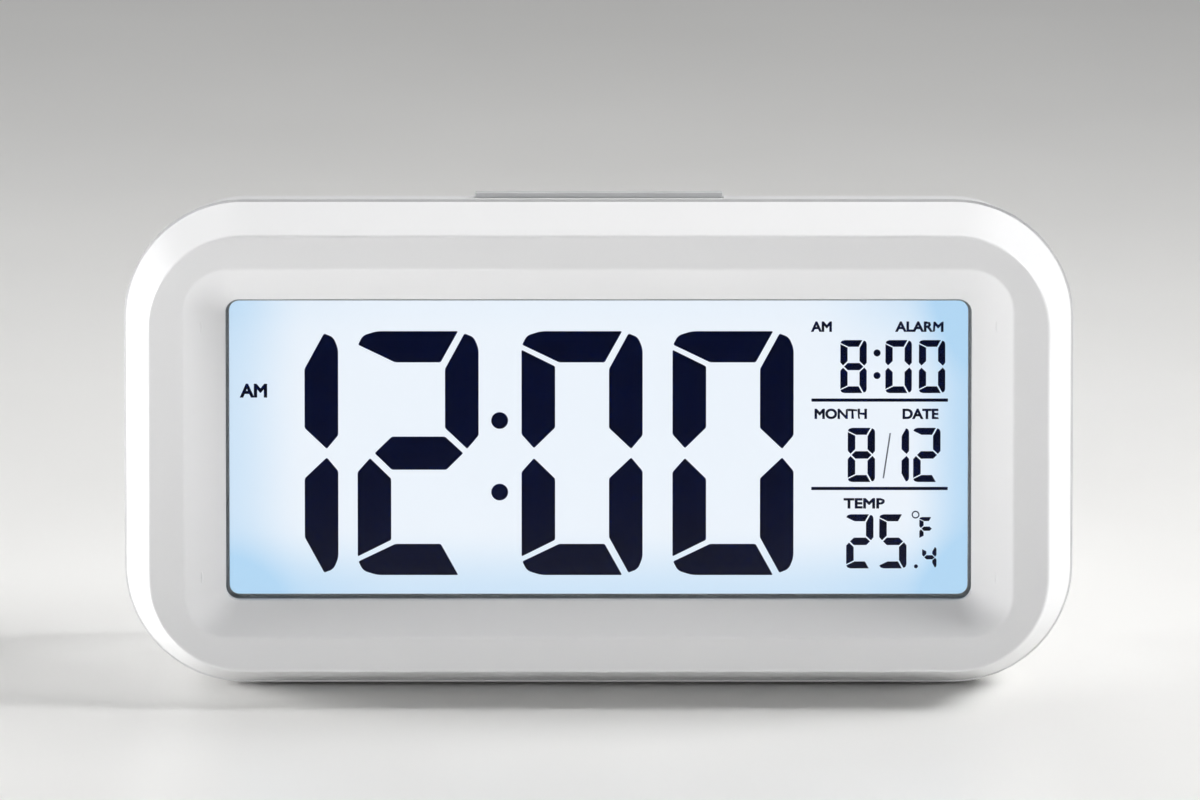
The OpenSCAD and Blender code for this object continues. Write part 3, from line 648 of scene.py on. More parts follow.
@dataclass(frozen=True)
class CellSleeve:
    """Printed shrink sleeve of a battery: two bands and a fine gloss film.

    Attributes:
        axis_x: where the two bands meet along x, in metres.
        flip: whether the positive end is at -x.
    """

    name: str
    base: Colour
    band: Colour
    axis_x: float
    flip: bool

    def build(self) -> bpy.types.Material:
        """The band near the positive end is picked by x."""
        g = Graph(self.name)
        axes = g.node("ShaderNodeSeparateXYZ")
        g.join(g.coords, axes.inputs[0])
        step = g.node("ShaderNodeMapRange")
        reach = -0.0003 if self.flip else 0.0003
        step.inputs["From Min"].default_value = self.axis_x
        step.inputs["From Max"].default_value = self.axis_x + reach
        g.join(axes.outputs["X"], step.inputs["Value"])
        mix = g.node("ShaderNodeMix", data_type="RGBA")
        g.join(step.outputs["Result"], mix.inputs["Factor"])
        g.join(g.tint(g.noise(9.0, 2.0), self.base, tuple(c * 1.1 for c in self.base)), mix.inputs[6])
        mix.inputs[7].default_value = (*self.band, 1)
        g.join(mix.outputs[2], g.shader.inputs["Base Color"])
        g.bump(g.noise(2.0, 2.0), 0.01, 0.3)
        return g.settle(Roughness=0.28, Metallic=0.35, Coat_Weight=0.5, Coat_Roughness=0.12)


class Finishes:
    """Every finish of the clock, built once."""

    def __init__(self, case: CaseFrame) -> None:
        """Builds the materials.

        Args:
            case: the frame that the display's glow is drawn in.
        """
        self.shell = MouldedPlastic("white_shell", (0.80, 0.80, 0.805), 0.36).build()
        self.inner = MouldedPlastic("white_inner", (0.72, 0.72, 0.71), 0.5).build()
        self.silver = MouldedPlastic("silver_key", (0.68, 0.685, 0.695), 0.34, 0.12, 0.003, 0.03, 0.3).build()
        self.dark = MouldedPlastic("dark_key", (0.035, 0.036, 0.04), 0.5, 0.3, 0.006, 0.1).build()
        self.switch = MouldedPlastic("switch_black", (0.02, 0.02, 0.021), 0.55, 0.3, 0.006, 0.1).build()
        self.rubber = MouldedPlastic("foot_rubber", (0.03, 0.03, 0.031), 0.78, 0.4, 0.02, 0.15).build()
        self.zebra = MouldedPlastic("zebra_rubber", (0.55, 0.22, 0.28), 0.7, 0.2, 0.01, 0.2).build()
        self.epoxy = MouldedPlastic("black_epoxy", (0.015, 0.015, 0.016), 0.3, 1.5, 0.03, 0.1).build()
        self.capacitor = MouldedPlastic("capacitor_sleeve", (0.02, 0.03, 0.11), 0.3).build()
        self.tan = MouldedPlastic("ceramic_tan", (0.45, 0.31, 0.18), 0.6).build()
        self.ceramic = MouldedPlastic("white_ceramic", (0.78, 0.76, 0.70), 0.55, 0.2, 0.006, 0.05).build()
        self.film = MouldedPlastic("white_film", (0.82, 0.83, 0.84), 0.6, 0.2, 0.002).build()
        self.led = MouldedPlastic("led_body", (0.80, 0.76, 0.45), 0.25, 0.6, 0.004).build()
        self.red_wire = MouldedPlastic("red_wire", (0.42, 0.015, 0.012), 0.35, 0.5, 0.01).build()
        self.black_wire = MouldedPlastic("black_wire", (0.016, 0.016, 0.017), 0.35, 0.5, 0.01).build()
        self.ribbon = MouldedPlastic("grey_ribbon", (0.40, 0.40, 0.42), 0.4, 0.5, 0.01).build()
        self.window = ClearPlate("clear_window").build()
        self.glass = ClearPlate("lcd_glass", (0.93, 0.98, 1.0)).build()
        self.acrylic = ClearPlate("clear_acrylic", (0.96, 0.99, 1.0), 0.02).build()
        self.tinned = Metal("tinned_steel", (0.62, 0.62, 0.60), 0.28).build()
        self.zinc = Metal("zinc_screw", (0.58, 0.59, 0.61), 0.33).build()
        self.brass = Metal("brass_disc", (0.78, 0.56, 0.22), 0.28).build()
        self.board = BoardFinish("circuit_board").build()
        self.segment = Ink("lcd_segment", (0.0, 0.0042, 0.045)).build()
        self.fine_segment = Ink("lcd_fine_line", (0.22, 0.24, 0.28)).build()
        self.border = Ink("window_border", (0.44, 0.47, 0.49), 0.5).build()
        fades = (Fade("X", -53.0, 12.0, 0.55, 26.0), Fade("X", 53.0, 10.0, 0.88, 26.0),
                 Fade("Z", 21.6, 6.0, 0.08, 14.0), Fade("Z", -21.6, 10.5, 0.58, 14.0))
        corners = {(0, 2): 0.15, (1, 2): 0.6, (0, 3): 0.35, (1, 3): 0.35}
        self.display = LitDisplay("polarizer_film", case, (0.847, 0.905, 0.973), (0.445, 0.68, 0.90),
                                  fades, corners).build()


# ---------------------------------------------------------------- pieces


def dress(piece: bpy.types.Object, finish: bpy.types.Material, body: str,
          nodes: tuple[str, ...]) -> bpy.types.Object:
    """Gives a piece its finish and body, and hides the CAD nodes that it replaces.

    Args:
        piece: the object.
        finish: its material.
        body: the CAD body that it rides on.
        nodes: CAD nodes that it replaces.

    Returns:
        The same object.
    """
    piece.data.materials.clear()
    piece.data.materials.append(finish)
    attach(piece, body)
    if nodes:
        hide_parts(*nodes)
    log.info("%s: %d faces, rides on %s", piece.name, len(piece.data.polygons), body)
    return piece


def smooth(mesh: bpy.types.Mesh, angle_deg: float) -> None:
    """Shades a mesh smooth except across edges sharper than the angle."""
    mesh.shade_smooth()
    mesh.set_sharp_from_angle(angle=math.radians(angle_deg))


def tidy(mesh: bpy.types.Mesh) -> None:
    """Merges doubles and turns every face outwards.

    Args:
        mesh: the mesh, changed in place.
    """
    work = bmesh.new()
    work.from_mesh(mesh)
    bmesh.ops.remove_doubles(work, verts=work.verts, dist=1e-7)
    bmesh.ops.recalc_face_normals(work, faces=work.faces)
    work.to_mesh(mesh)
    work.free()


@dataclass
class Builder:
    """Turns surfaces into dressed pieces.

    Attributes:
        case: the leaned case's frame.
        finish: the finishes.
        made: names of the pieces made so far.
    """

    case: CaseFrame
    finish: Finishes
    made: list[str] = field(default_factory=list)

    def piece(self, name: str, shape: Surface, finish: bpy.types.Material, body: str, slot: str,
              *nodes: str, sharp_deg: float = 32.0) -> bpy.types.Object:
        """Makes a piece from a surface in case millimetres.

        Args:
            name: the piece's name.
            shape: its surface.
            finish: its material.
            body: the body that it rides on.
            slot: not used.
            nodes: CAD nodes that it replaces.
            sharp_deg: edges sharper than this stay sharp.

        Returns:
            The dressed object.
        """
        mesh = bpy.data.meshes.new(name)
        mesh.from_pydata(self.case.place(shape.points).tolist(), [], shape.faces)
        tidy(mesh)
        smooth(mesh, sharp_deg)
        piece = bpy.data.objects.new(name, mesh)
        bpy.context.scene.collection.objects.link(piece)
        self.made.append(name)
        return dress(piece, finish, body, nodes)

    def moulded(self, node: str, name: str, finish: bpy.types.Material, body: str, slot: str,
                edge_mm: float) -> bpy.types.Object:
        """Makes a piece from a merged copy of a CAD node, with its edges softly rounded.

        Args:
            node: the CAD node.
            name: the piece's name.
            finish: its material.
            body: the body that it rides on.
            slot: not used.
            edge_mm: width of the rounding.

        Returns:
            The dressed object.
        """
        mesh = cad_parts[node].data.copy()
        mesh.name = name
        work = bmesh.new()
        work.from_mesh(mesh)
        bmesh.ops.remove_doubles(work, verts=work.verts, dist=2e-6)
        bmesh.ops.dissolve_limit(work, angle_limit=math.radians(0.6), verts=work.verts, edges=work.edges)
        work.to_mesh(mesh)
        work.free()
        smooth(mesh, 30.0)
        piece = bpy.data.objects.new(name, mesh)
        bpy.context.scene.collection.objects.link(piece)
        rounding = piece.modifiers.new("edges", "BEVEL")
        rounding.width = edge_mm * MM
        rounding.segments = 2
        rounding.limit_method = "ANGLE"
        rounding.angle_limit = math.radians(30)
        rounding.harden_normals = True
        self.made.append(name)
        return dress(piece, finish, body, (node,))

    def keep(self, node: str, finish: bpy.types.Material) -> None:
        """Gives a CAD node that stays its procedural finish.

        Args:
            node: the CAD node.
            finish: its material.
        """
        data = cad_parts[node].data
        data.materials.clear()
        data.materials.append(finish)


@dataclass
class FrontShell:
    """The moulded frame round the display."""

    b: Builder
    width: float = 135.0
    height: float = 69.6
    corner_r: float = 17.0
    depth: float = 12.0
    wall: float = 2.2
    outer_bevel: float = 3.5
    rim_side: float = 5.2
    rim_top: float = 4.85
    inner_side: float = 5.85
    inner_top: float = 4.85
    recess_d: float = 4.0
    lip: float = 1.2
    recess_r: float = 6.2
    window_r: float = 1.9

    @property
    def window(self) -> tuple[float, float]:
        """Width and height of the window opening."""
        return (self.width - 2 * (self.outer_bevel + self.rim_side + self.inner_side),
                self.height - 2 * (self.outer_bevel + self.rim_top + self.inner_top))

    def ring(self, y: float, inset: float) -> list[float]:
        """A key ring of the case outline, stepped in by inset."""
        return [y, self.width / 2 - inset, self.height / 2 - inset, self.corner_r - inset]

    def section(self) -> tuple[Array, Array]:
        """The closed section: outer bevel, parting edge, inside, lip, window, inner bevel, rim.

        Returns:
            The key rings and the softening of each.
        """
        rim_w = self.width / 2 - self.outer_bevel - self.rim_side
        rim_h = self.height / 2 - self.outer_bevel - self.rim_top
        win_w, win_h = self.window[0] / 2, self.window[1] / 2
        back = self.recess_d + self.lip
        land = 2.2
        rows = [
            (self.ring(0, self.outer_bevel), 0.42),
            (self.ring(self.depth - 0.38, 0.32), 0.12),
            (self.ring(self.depth - 0.02, 0.6), 0.08),
            (self.ring(self.depth - 0.02, self.wall), 0.15),
            (self.ring(self.depth - 1.4, self.wall), 0.05),
            (self.ring(self.depth - 1.4, self.wall + 0.5), 0.05),
            (self.ring(self.wall, self.wall + self.outer_bevel * (1 - self.wall / self.depth)), 0.8),
            ([self.wall, rim_w + 0.4, rim_h + 0.4, self.recess_r + 0.4], 0.5),
            ([back, win_w + land, win_h + land, self.window_r + land], 0.3),
            ([back, win_w, win_h, self.window_r], 0.1),
            ([self.recess_d, win_w, win_h, self.window_r], 0.12),
            ([0, rim_w, rim_h, self.recess_r], 0.3),
        ]
        return np.array([row[0] for row in rows]), np.array([row[1] for row in rows])

    def posts(self) -> Surface:
        """Four case-screw bosses and four board posts behind the rim.

        Returns:
            All eight as one surface.
        """
        made = []
        for x, z, r, end in ((58.75, 18.0, 2.6, self.depth - 0.02), (30.0, 29.05, 2.2, 13.2)):
            profile = rounded_profile([(0, self.wall - 0.6), (r, self.wall - 0.6), (r, end), (0, end)], 0.2)
            made += [turned(profile, (sx * x, 0, sz * z), steps=24) for sx in (-1, 1) for sz in (-1, 1)]
        return sum(made[1:], made[0])

    def build(self) -> None:
        """Lofts the section round the case and stands the posts behind it."""
        keys, reach = self.section()
        shape = loft(keys, reach) + self.posts()
        self.b.piece("front_shell_moulding", shape, self.b.finish.shell, "case", "white_shell", "front_shell")


SEGMENTS = {"0": "abcdef", "1": "bc", "2": "abged", "4": "fgbc", "5": "afgcd", "8": "abcdefg", "F": "aefg"}


@dataclass(frozen=True)
class DigitStyle:
    """Seven-segment figures with mitred ends, as fractions of the stroke.

    Attributes:
        width, height, stroke: size of a figure, in mm.
    """

    width: float
    height: float
    stroke: float

    def outline(self, segment: str) -> Array:
        """Outline of one segment, its corners softened.

        Segments b and f are given for the upper half; c, d and e mirror b, a and f in z.

        Args:
            segment: letter a to g.

        Returns:
            (n, 2) x and z from the figure's lower left corner.
        """
        w, h, t = self.width, self.height, self.stroke
        mid = h / 2
        curved, small = 0.13 * t, 0.05 * t
        upper = {
            "a": [(0.02 * t, h - 0.41 * t, small), (0.16 * t, h - 0.13 * t, curved), (0.58 * t, h, curved),
                  (w - 0.61 * t, h, small), (w - 1.13 * t, h - 0.94 * t, small),
                  (1.12 * t, h - 0.94 * t, small)],
            "b": [(w - 0.42 * t, h - 0.07 * t, small), (w - 0.14 * t, h - 0.18 * t, curved),
                  (w, h - 0.52 * t, curved), (w, mid + 0.54 * t, small),
                  (w - 0.34 * t, mid + 0.13 * t, small), (w - t, mid + 0.76 * t, small),
                  (w - t, h - 1.14 * t, small)],
            "f": [(0, h - 0.56 * t, small), (t, h - 1.06 * t, small), (t, mid + 0.77 * t, small),
                  (0.37 * t, mid + 0.15 * t, small), (0, mid + 0.57 * t, small)],
            "g": [(0.51 * t, mid, small), (1.02 * t, mid + 0.5 * t, small), (w - t, mid + 0.5 * t, small),
                  (w - 0.46 * t, mid, small), (w - 0.96 * t, mid - 0.5 * t, small),
                  (1.02 * t, mid - 0.5 * t, small)],
        }
        mirrored = {"c": "b", "d": "a", "e": "f"}
        rows = np.array(upper[mirrored.get(segment, segment)])
        if segment in mirrored:
            rows[:, 1] = h - rows[:, 1]
            rows = rows[::-1]
        return soften(rows[:, :2], rows[:, 2], 5)

    def figure(self, letter: str, x: float, z: float, y0: float, y1: float) -> Surface:
        """One figure's lit segments as thin plates.

        Args:
            letter: the figure, a key of SEGMENTS.
            x, z: its lower left corner.
            y0, y1: front and back depth of the plates.

        Returns:
            The figure's plates.
        """
        plates = [plate(self.outline(s) + np.array([x, z]), y0, y1) for s in SEGMENTS[letter]]
        return sum(plates[1:], plates[0])


@dataclass
class Display:
    """Window, lit LCD face and everything shown on it."""

    b: Builder
    shell: FrontShell
    lens_t: float = 1.5
    lens_land: float = 1.6
    film_y: float = 7.0
    film_t: float = 0.2
    ink_t: float = 0.03
    border: float = 0.5

    @property
    def ink(self) -> tuple[float, float]:
        """Front and back depth of the segments, just proud of the film."""
        return self.film_y - self.ink_t, self.film_y - 0.004

    def window(self) -> None:
        """The clear window with softened rims, and the border printed on its back."""
        w, h = self.shell.window
        y0 = self.shell.recess_d + self.shell.lip
        land = self.lens_land
        outline = rounded_rings(np.array([w + 2 * land]), np.array([h + 2 * land]),
                                np.array([self.shell.window_r + land]), 12)[0]
        self.b.piece("display_window_sheet", plate(outline, y0, y0 + self.lens_t, 0.1),
                     self.b.finish.window, "case", "clear_window", "display_window")
        y = y0 + self.lens_t
        out, inner = land - 0.2, -self.border
        keys = np.array([[y + d, w / 2 + s, h / 2 + s, self.shell.window_r + s] for d, s in
                         ((0.002, out), (0.03, out), (0.03, inner), (0.002, inner))])
        self.b.piece("window_border_print", loft(keys, np.full(4, 0.001), 1), self.b.finish.border,
                     "case", "polarizer_film")

    def face(self) -> None:
        """The lit face of the LCD."""
        w, h = self.shell.window
        outline = rounded_rings(np.array([w + 0.6]), np.array([h + 0.8]), np.array([0.5]), 6)[0]
        self.b.piece("lit_display_face", plate(outline, self.film_y, self.film_y + self.film_t),
                     self.b.finish.display, "case", "polarizer_film", "front_polarizer")

    def figures(self) -> None:
        """The time in large figures, and the alarm, date and temperature beside it."""
        y0, y1 = self.ink
        large = DigitStyle(17.2, 35.1, 4.77)
        alarm = DigitStyle(3.75, 7.62, 1.03)
        date = DigitStyle(3.88, 7.80, 1.07)
        tenth = DigitStyle(2.05, 3.0, 0.6)
        unit = DigitStyle(2.05, 3.35, 0.61)
        rows = [
            ("time_figures", large, -18.45, [("1", -54.2), ("2", -34.25), ("0", -10.95), ("0", 10.5)]),
            ("alarm_figures", alarm, 7.75, [("8", 34.33), ("0", 40.73), ("0", 45.48)]),
            ("date_figures", date, -5.05, [("8", 35.4), ("1", 40.24), ("2", 44.7)]),
            ("temperature_figures", date, -17.5, [("2", 35.2), ("5", 39.9)]),
            ("temperature_tenth", tenth, -17.4, [("4", 46.0)]),
            ("temperature_unit", unit, -13.45, [("F", 45.6)]),
        ]
        for name, style, z, figures in rows:
            shapes = [style.figure(letter, x, z, y0, y1) for letter, x in figures]
            self.ink_piece(name, sum(shapes[1:], shapes[0]))

    def dots_and_rules(self) -> None:
        """Colons, decimal point, degree ring, the two rules and the date's thin slash."""
        y0, y1 = self.ink
        dots = [(-14.06, 3.8, 1.2), (-14.06, -6.5, 1.2), (39.54, 13.52, 0.5), (39.54, 10.27, 0.5),
                (45.13, -17.2, 0.28)]
        shapes = [plate(disc_outline(x, z, r), y0, y1) for x, z, r in dots]
        rules = (bar_outline(30.23, 49.62, z - 0.23, z + 0.23, 0.05) for z in (6.74, -5.98))
        shapes += [plate(rule, y0, y1) for rule in rules]
        self.ink_piece("display_dots_and_rules", sum(shapes[1:], shapes[0]))
        keys = np.array([[y, r, r, r] for y, r in ((y0, 0.56), (y1, 0.56), (y1, 0.38), (y0, 0.38))])
        ring = loft(keys, np.full(4, 0.001), 1)
        ring.points = ring.points + np.array([45.06, 0, -9.75])
        self.ink_piece("degree_ring", ring)
        slash = np.array([(40.36, -4.5), (40.57, -4.5), (41.54, 2.0), (41.33, 2.0)])
        self.b.piece("date_slash", plate(slash, y0, y1), self.b.finish.fine_segment, "case", "polarizer_film")

    def ink_piece(self, name: str, shape: Surface) -> None:
        """A dark piece of the display's image."""
        self.b.piece(name, shape, self.b.finish.segment, "case", "polarizer_film", sharp_deg=20.0)

    def label(self, name: str, words: str, x: float, z: float, cap: float, width: float,
              weight: float = 0.085) -> None:
        """A word beside the figures, from the built-in typeface, made a mesh and then placed.

        Its strokes are thickened by moving each outline point out by weight times
        2 (n + m) / |n + m|^2, where n and m are the normals of the two sides it lies on.

        Args:
            name: the piece's name.
            words: what it says.
            x, z: its middle, in mm.
            cap: height of its capitals.
            width: width of the whole word.
            weight: how far its strokes are thickened on each side, in mm.
        """
        curve = bpy.data.curves.new(name + "_type", "FONT")
        curve.body = words
        curve.size = 1.0
        curve.extrude = 0.5
        source = bpy.data.objects.new(name + "_type", curve)
        bpy.context.scene.collection.objects.link(source)
        mesh = bpy.data.meshes.new_from_object(source.evaluated_get(bpy.context.evaluated_depsgraph_get()))
        tidy(mesh)
        flat = np.empty(len(mesh.vertices) * 3)
        mesh.vertices.foreach_get("co", flat)
        flat = flat.reshape(-1, 3)
        low, high = flat.min(axis=0), flat.max(axis=0)
        unit = (flat - (low + high) / 2) / (high - low)
        across = unit[:, :2] * np.array([width - 2 * weight, cap - 2 * weight])
        faces = [tuple(face.vertices) for face in mesh.polygons]
        out = np.zeros_like(across)
        for face in mesh.polygons:
            if abs(face.normal.z) < 0.5:
                out[list(face.vertices)] += np.array(face.normal)[:2]
        length = np.maximum((out**2).sum(axis=1, keepdims=True), 0.8)
        across = across + weight * 2 * out / length
        y0, y1 = self.ink
        points = np.stack([x + across[:, 0], (y0 + y1) / 2 - unit[:, 2] * (y1 - y0),
                           z + across[:, 1]], axis=-1)
        bpy.data.objects.remove(source)
        bpy.data.curves.remove(curve)
        bpy.data.meshes.remove(mesh)
        self.ink_piece(name, Surface(points, faces))

    def labels(self) -> None:
        """The plain function words of the display."""
        self.label("time_half_day", "AM", -49.0, 8.1, 2.0, 3.85, 0.11)
        self.label("alarm_half_day", "AM", 31.65, 17.3, 1.5, 2.95)
        self.label("alarm_word", "ALARM", 45.55, 17.3, 1.5, 6.85)
        self.label("month_word", "MONTH", 34.4, 4.76, 1.5, 7.45)
        self.label("date_word", "DATE", 45.75, 4.76, 1.5, 5.15)
        self.label("temperature_word", "TEMP", 37.75, -8.12, 1.5, 5.85)

    def build(self) -> None:
        """Builds the window, the face and what it shows, and dresses the glass behind."""
        self.window()
        self.face()
        self.figures()
        self.dots_and_rules()
        self.labels()
        for node in ("lcd_front_glass", "lcd_rear_glass"):
            self.b.keep(node, self.b.finish.glass)
        self.b.keep("light_guide", self.b.finish.acrylic)
        self.b.keep("rear_polarizer", self.b.finish.film)
        self.b.keep("diffuser_sheet", self.b.finish.film)
        self.b.keep("reflector_sheet", self.b.finish.film)
        self.b.keep("backlight_leds", self.b.finish.led)
        self.b.keep("lcd_holder", self.b.finish.inner)
        self.b.keep("zebra_strips", self.b.finish.zebra)


@dataclass
class RearShell:
    """Rear moulding, its screws and its feet."""

    b: Builder

    def build(self) -> None:
        """Softens the CAD moulding's edges, and adds the screws and feet."""
        finish = self.b.finish
        self.b.moulded("rear_shell", "rear_shell_moulding", finish.shell, "case", "white_shell", 0.18)
        self.b.moulded("case_screws", "case_screw_set", finish.zinc, "case", "zinc_screw", 0.08)
        self.b.moulded("rubber_feet", "rubber_foot_set", finish.rubber, "case", "foot_rubber", 0.12)


@dataclass
class SnoozeBar:
    """The long key on top, with its switch."""

    b: Builder

    def build(self) -> None:
        """Rounds the bar's edges and dresses its switch."""
        self.b.moulded("snooze_bar", "snooze_bar_key", self.b.finish.silver, "snooze_bar", "silver_key", 0.35)
        self.b.keep("snooze_plunger", self.b.finish.switch)
        self.b.keep("snooze_switch", self.b.finish.switch)


@dataclass
class RearControls:
    """Four round keys, the light switch, and the key board behind them."""

    b: Builder
    key_x: tuple[float, ...] = (30.0, 15.0, 0.0, -15.0)
    key_z: float = 18.6
    names: tuple[str, ...] = ("mode", "set", "up", "down")
    radius: float = 3.4
    flange_r: float = 4.6
    flange_t: float = 1.0
    stem_r: float = 1.5
    stem_l: float = 0.9
    wall_in: float = 36.2
    back: float = 38.2
    proud: float = 1.0
    hollow: float = 0.22
    sign_r: float = 0.95

    def key(self, name: str, x: float) -> None:
        """A dished round key: flange, cap with a soft shoulder and a shallow hollow.

        Args:
            name: which key.
            x: its middle.
        """
        flange = self.wall_in - 1.3
        top = self.back + self.proud
        corners = [(0, flange - self.stem_l), (self.stem_r, flange - self.stem_l), (self.stem_r, flange),
                   (self.flange_r, flange), (self.flange_r, flange + self.flange_t),
                   (self.radius, flange + self.flange_t), (self.radius, top - 0.1), (self.radius * 0.82, top),
                   (self.radius * 0.45, top - 0.16), (0, top - self.hollow)]
        shape = turned(rounded_profile(corners, 0.22), (x, 0, self.key_z))
        self.b.piece(name + "_key", shape, self.b.finish.silver, name + "_button", "silver_key",
                     name + "_button")

    def mark(self, name: str, x: float) -> None:
        """The sign in a key's hollow: three bars, a dot, or a triangle that points up or down.

        Args:
            name: which key.
            x: its middle.
        """
        top = self.back + self.proud
        y0, y1 = top - 0.30, top - 0.12
        r, z = self.sign_r, self.key_z
        if name == "mode":
            rows = (z - 0.6, z, z + 0.6)
            bars = (bar_outline(x - r, x + r, row - 0.14, row + 0.14, 0.05) for row in rows)
            shapes = [plate(bar, y0, y1) for bar in bars]
            shape = sum(shapes[1:], shapes[0])
        elif name == "set":
            shape = plate(disc_outline(x, z, 0.7), y0, y1)
        else:
            up = 1 if name == "up" else -1
            corners = np.array([(-r, -0.6), (r, -0.6), (0.0, r)])[::up] * np.array([1, up])
            shape = plate(soften(corners + np.array([x, z]), np.full(3, 0.12), 4), y0, y1)
        self.b.piece(name + "_key_mark", shape, self.b.finish.fine_segment, name + "_button", "silver_key",
                     sharp_deg=20.0)

    def build(self) -> None:
        """Builds the keys and dresses the key board's parts."""
        for name, x in zip(self.names, self.key_x):
            self.key(name, x)
            self.mark(name, x)
            self.b.keep(name + "_switch", self.b.finish.switch)
            self.b.keep(name + "_plunger", self.b.finish.switch)
        self.b.moulded("slide_knob", "light_switch_knob", self.b.finish.dark, "slide_knob", "dark_key", 0.15)
        self.b.keep("slide_switch", self.b.finish.tinned)
        self.b.keep("key_board", self.b.finish.board)
        self.b.keep("key_board_screws", self.b.finish.zinc)


@dataclass
class BatteryPack:
    """Three cells, their contacts and the cover."""

    b: Builder
    cell_l: float = 44.5
    cell_r: float = 5.25
    spring_l: float = 5.9
    bay_l: float = 51.2
    plate_t: float = 0.4
    depth: float = 30.1
    pitch: float = 10.95
    middle_z: float = -8.18

    def cell(self, k: int) -> None:
        """A cell with crimped ends, a raised nub and a shrink sleeve that curls over its rims.

        Args:
            k: which cell, from the top.
        """
        flip = k % 2 == 1
        sign = -1 if flip else 1
        x = sign * self.spring_l / 2
        z = self.middle_z + (1 - k) * self.pitch
        half = self.cell_l / 2
        r = self.cell_r
        corners = [(0, -half), (3.6, -half), (4.0, -half + 0.15), (r - 0.35, -half + 0.05), (r, -half + 0.35),
                   (r, half - 1.5), (r - 0.4, half - 1.15), (3.4, half - 1.3), (3.0, half - 1.05),
                   (1.9, half - 1.05), (1.8, half - 0.1), (1.6, half), (0, half)]
        profile = rounded_profile(corners, 0.18)
        profile[:, 1] *= sign
        finish = CellSleeve(f"battery_sleeve_{k + 1}", (0.05, 0.09, 0.16), (0.42, 0.25, 0.09),
                            (x + sign * half * 0.45) * MM, flip).build()
        self.b.piece(f"battery_cell_{k + 1}", turned(profile, (x, self.depth, z), Axis.X), finish, "case",
                     "battery_sleeve", f"battery_{k + 1}")

    def springs(self) -> None:
        """Coned coil springs: radius falls from base to tip while the coil climbs."""
        wire, turns = 0.35, 4.0
        climb = self.spring_l - 2 * wire - 0.06
        f = np.linspace(0, 1, int(turns * 28) + 1)
        angle = 2 * math.pi * turns * f
        coil = 3.6 - 1.4 * f
        rise = np.clip((f - 0.10) / 0.80, 0, 1)
        shapes = []
        for k in range(3):
            sign = 1 if k % 2 else -1
            z = self.middle_z + (1 - k) * self.pitch
            x = sign * (self.bay_l / 2 - self.plate_t - wire - 0.03 - climb * rise)
            path = np.stack([x, self.depth + coil * np.cos(angle), z + coil * np.sin(angle)], axis=-1)
            shapes.append(tube(path, wire, 10))
        self.b.piece("contact_spring_set", sum(shapes[1:], shapes[0]), self.b.finish.tinned, "case",
                     "tinned_steel", "battery_springs")

    def build(self) -> None:
        """Builds cells, springs and cover, and dresses the plates and wires."""
        for k in range(3):
            self.cell(k)
        self.springs()
        self.b.moulded("battery_plates", "contact_plate_set", self.b.finish.tinned, "case",
                       "tinned_steel", 0.05)
        self.b.moulded("battery_cover", "battery_cover_moulding", self.b.finish.shell, "battery_cover",
                       "white_shell", 0.15)
        self.b.keep("battery_wire_red", self.b.finish.red_wire)
        self.b.keep("battery_wire_black", self.b.finish.black_wire)


@dataclass
class Electronics:
    """Main board and the small parts on it, the buzzer and the wiring."""

    b: Builder

    def build(self) -> None:
        """Dresses the CAD nodes, which are hidden inside the case."""
        f = self.b.finish
        chosen = {"main_board": f.board, "chip_cover": f.epoxy, "quartz_crystal": f.tinned,
                  "chip_resistors": f.epoxy, "chip_capacitors": f.tan, "power_capacitor": f.capacitor,
                  "board_screws": f.zinc, "buzzer_plate": f.brass, "buzzer_ceramic": f.ceramic,
                  "thermistor": f.epoxy, "buzzer_wires": f.red_wire, "key_ribbon": f.ribbon}
        for node, finish in chosen.items():
            self.b.keep(node, finish)


# ---------------------------------------------------------------- studio


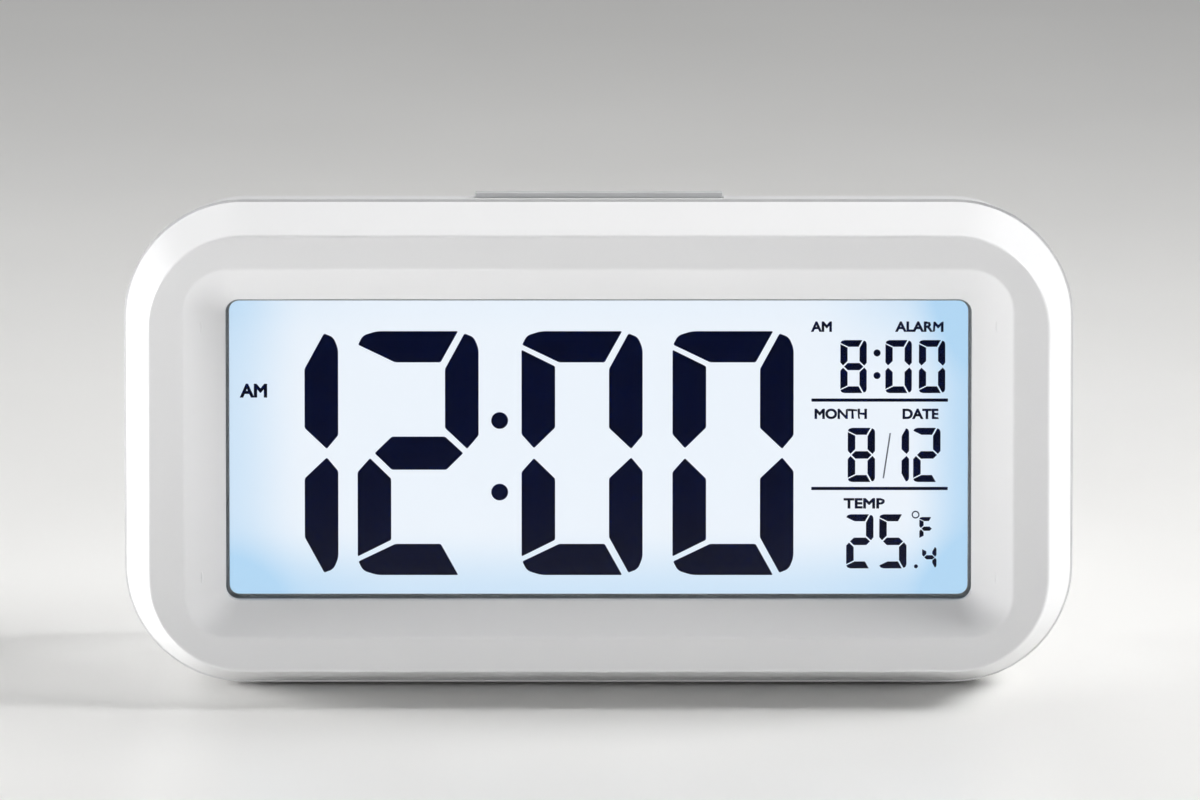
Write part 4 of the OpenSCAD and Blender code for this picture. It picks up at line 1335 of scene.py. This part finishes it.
@dataclass
class Studio:
    """Pale floor, soft lights and the long-lens camera.

    Attributes:
        azimuth, elevation: camera direction, in degrees.
        distance: camera distance, in metres.
        span: width of the view at the clock, in metres.
        raise_view: how far the view's middle is above the clock's, in metres.
        aside: how far the view's middle is to the left of the clock's, in metres.
    """

    azimuth: float = 0.0
    elevation: float = 16.6
    distance: float = 3.2
    span: float = 0.1708
    raise_view: float = 0.0058
    aside: float = -0.0002
    sensor: float = 36.0

    def floor(self) -> None:
        """Wide pale floor with a faint satin sheen."""
        half = 4.0
        points = [(-half, -half, 0), (half, -half, 0), (half, half, 0), (-half, half, 0)]
        mesh = bpy.data.meshes.new("floor")
        mesh.from_pydata(points, [], [(0, 1, 2, 3)])
        floor = bpy.data.objects.new("floor", mesh)
        bpy.context.scene.collection.objects.link(floor)
        g = Graph("pale_floor")
        g.join(g.tint(g.noise(60.0, 2.0), (0.84, 0.835, 0.82), (0.87, 0.865, 0.85)),
               g.shader.inputs["Base Color"])
        mesh.materials.append(g.settle(Roughness=0.35, Specular_IOR_Level=0.35))

    def aim(self, item: bpy.types.Object, target: Array) -> None:
        """Turns an object's -Z towards a point, its Y up.

        Args:
            item: a lamp or the camera, already in its place.
            target: the point.
        """
        away = np.array(item.location) - target
        back = away / np.linalg.norm(away)
        right = np.cross([0.0, 0.0, 1.0], back)
        right /= np.linalg.norm(right)
        up = np.cross(back, right)
        matrix = np.eye(4)
        matrix[:3, 0], matrix[:3, 1], matrix[:3, 2], matrix[:3, 3] = right, up, back, item.location
        item.matrix_world = Matrix(matrix.tolist())

    def light(self, name: str, place: tuple[float, float, float], size: tuple[float, float],
              power: float, spread_deg: float = 180.0) -> bpy.types.Object:
        """A rectangular soft light aimed at the clock.

        Args:
            name: the lamp's name.
            place: its middle, in metres.
            size: its width and height, in metres.
            power: its power, in watts.
            spread_deg: its cone; a small one keeps it off the floor nearby.

        Returns:
            The lamp.
        """
        data = bpy.data.lights.new(name, "AREA")
        data.shape = "RECTANGLE"
        data.size, data.size_y = size
        data.energy = power
        data.spread = math.radians(spread_deg)
        lamp = bpy.data.objects.new(name, data)
        bpy.context.scene.collection.objects.link(lamp)
        lamp.location = place
        self.aim(lamp, np.array([0.0, 0.0, 0.03]))
        return lamp

    def lights(self) -> None:
        """Bright panels at both sides, a soft one behind, and low fill in front.

        The fill panel lies on the floor and faces up, so it is hidden and only its light shows.
        """
        self.light("left_side", (-0.9, 0.05, 0.22), (0.4, 0.3), 0.84, 50.0)
        self.light("left_low", (-0.55, -0.5, 0.05), (0.3, 0.08), 1.35)
        self.light("right_low", (0.55, -0.45, 0.26), (0.3, 0.08), 0.8)
        panel = self.light("floor_fill", (-0.03, -0.16, 0.001), (0.30, 0.10), 0.25)
        self.aim(panel, np.array(panel.location) + np.array([0.0, 0.02, 1.0]))
        panel.visible_camera = panel.visible_glossy = False
        self.light("near_right", (0.67, 0.05, 0.52), (0.35, 0.35), 0.70, 50.0)
        self.light("back_top", (0.0, 1.3, 1.2), (2.2, 1.0), 13.0)
        world = bpy.data.worlds.new("studio")
        bpy.context.scene.world = world
        world.use_nodes = True
        world.node_tree.nodes["Background"].inputs["Color"].default_value = (0.93, 0.95, 1.0, 1)
        world.node_tree.nodes["Background"].inputs["Strength"].default_value = 0.03

    def camera(self, case: CaseFrame) -> None:
        """Long lens at the clock's viewing angle, aimed just above and beside its middle.

        Args:
            case: the leaned case's frame.
        """
        azimuth, elevation = math.radians(self.azimuth), math.radians(self.elevation)
        back = np.array([math.sin(azimuth) * math.cos(elevation), -math.cos(azimuth) * math.cos(elevation),
                         math.sin(elevation)])
        right = np.array([math.cos(azimuth), math.sin(azimuth), 0.0])
        up = np.cross(back, right)
        middle = case.place(np.array([0.0, 12.0, 0.0]))
        target = middle + up * self.raise_view - right * self.aside
        data = bpy.data.cameras.new("camera")
        data.sensor_width = self.sensor
        data.lens = self.sensor * self.distance / self.span
        data.clip_end = 50.0
        camera = bpy.data.objects.new("camera", data)
        bpy.context.scene.collection.objects.link(camera)
        camera.location = target + back * self.distance
        self.aim(camera, target)
        bpy.context.scene.camera = camera

    def build(self, case: CaseFrame) -> None:
        """Sets up the floor, the lights, the camera and the view.

        Args:
            case: the leaned case's frame.
        """
        self.floor()
        self.lights()
        self.camera(case)
        bpy.context.scene.view_settings.view_transform = "Standard"


def main() -> None:
    """Builds the clock piece by piece, then the studio."""
    logging.basicConfig(level=logging.INFO, format="%(message)s")
    case = CaseFrame.from_window(lean_deg=7.5, depth=5.95)
    builder = Builder(case, Finishes(case))
    shell = FrontShell(builder)
    parts = [shell, Display(builder, shell), RearShell(builder), SnoozeBar(builder),
             RearControls(builder), BatteryPack(builder), Electronics(builder)]
    for part in parts:
        part.build()
    Studio().build(case)
    log.info("%d pieces made", len(builder.made))


if __name__ == "__main__":
    main()
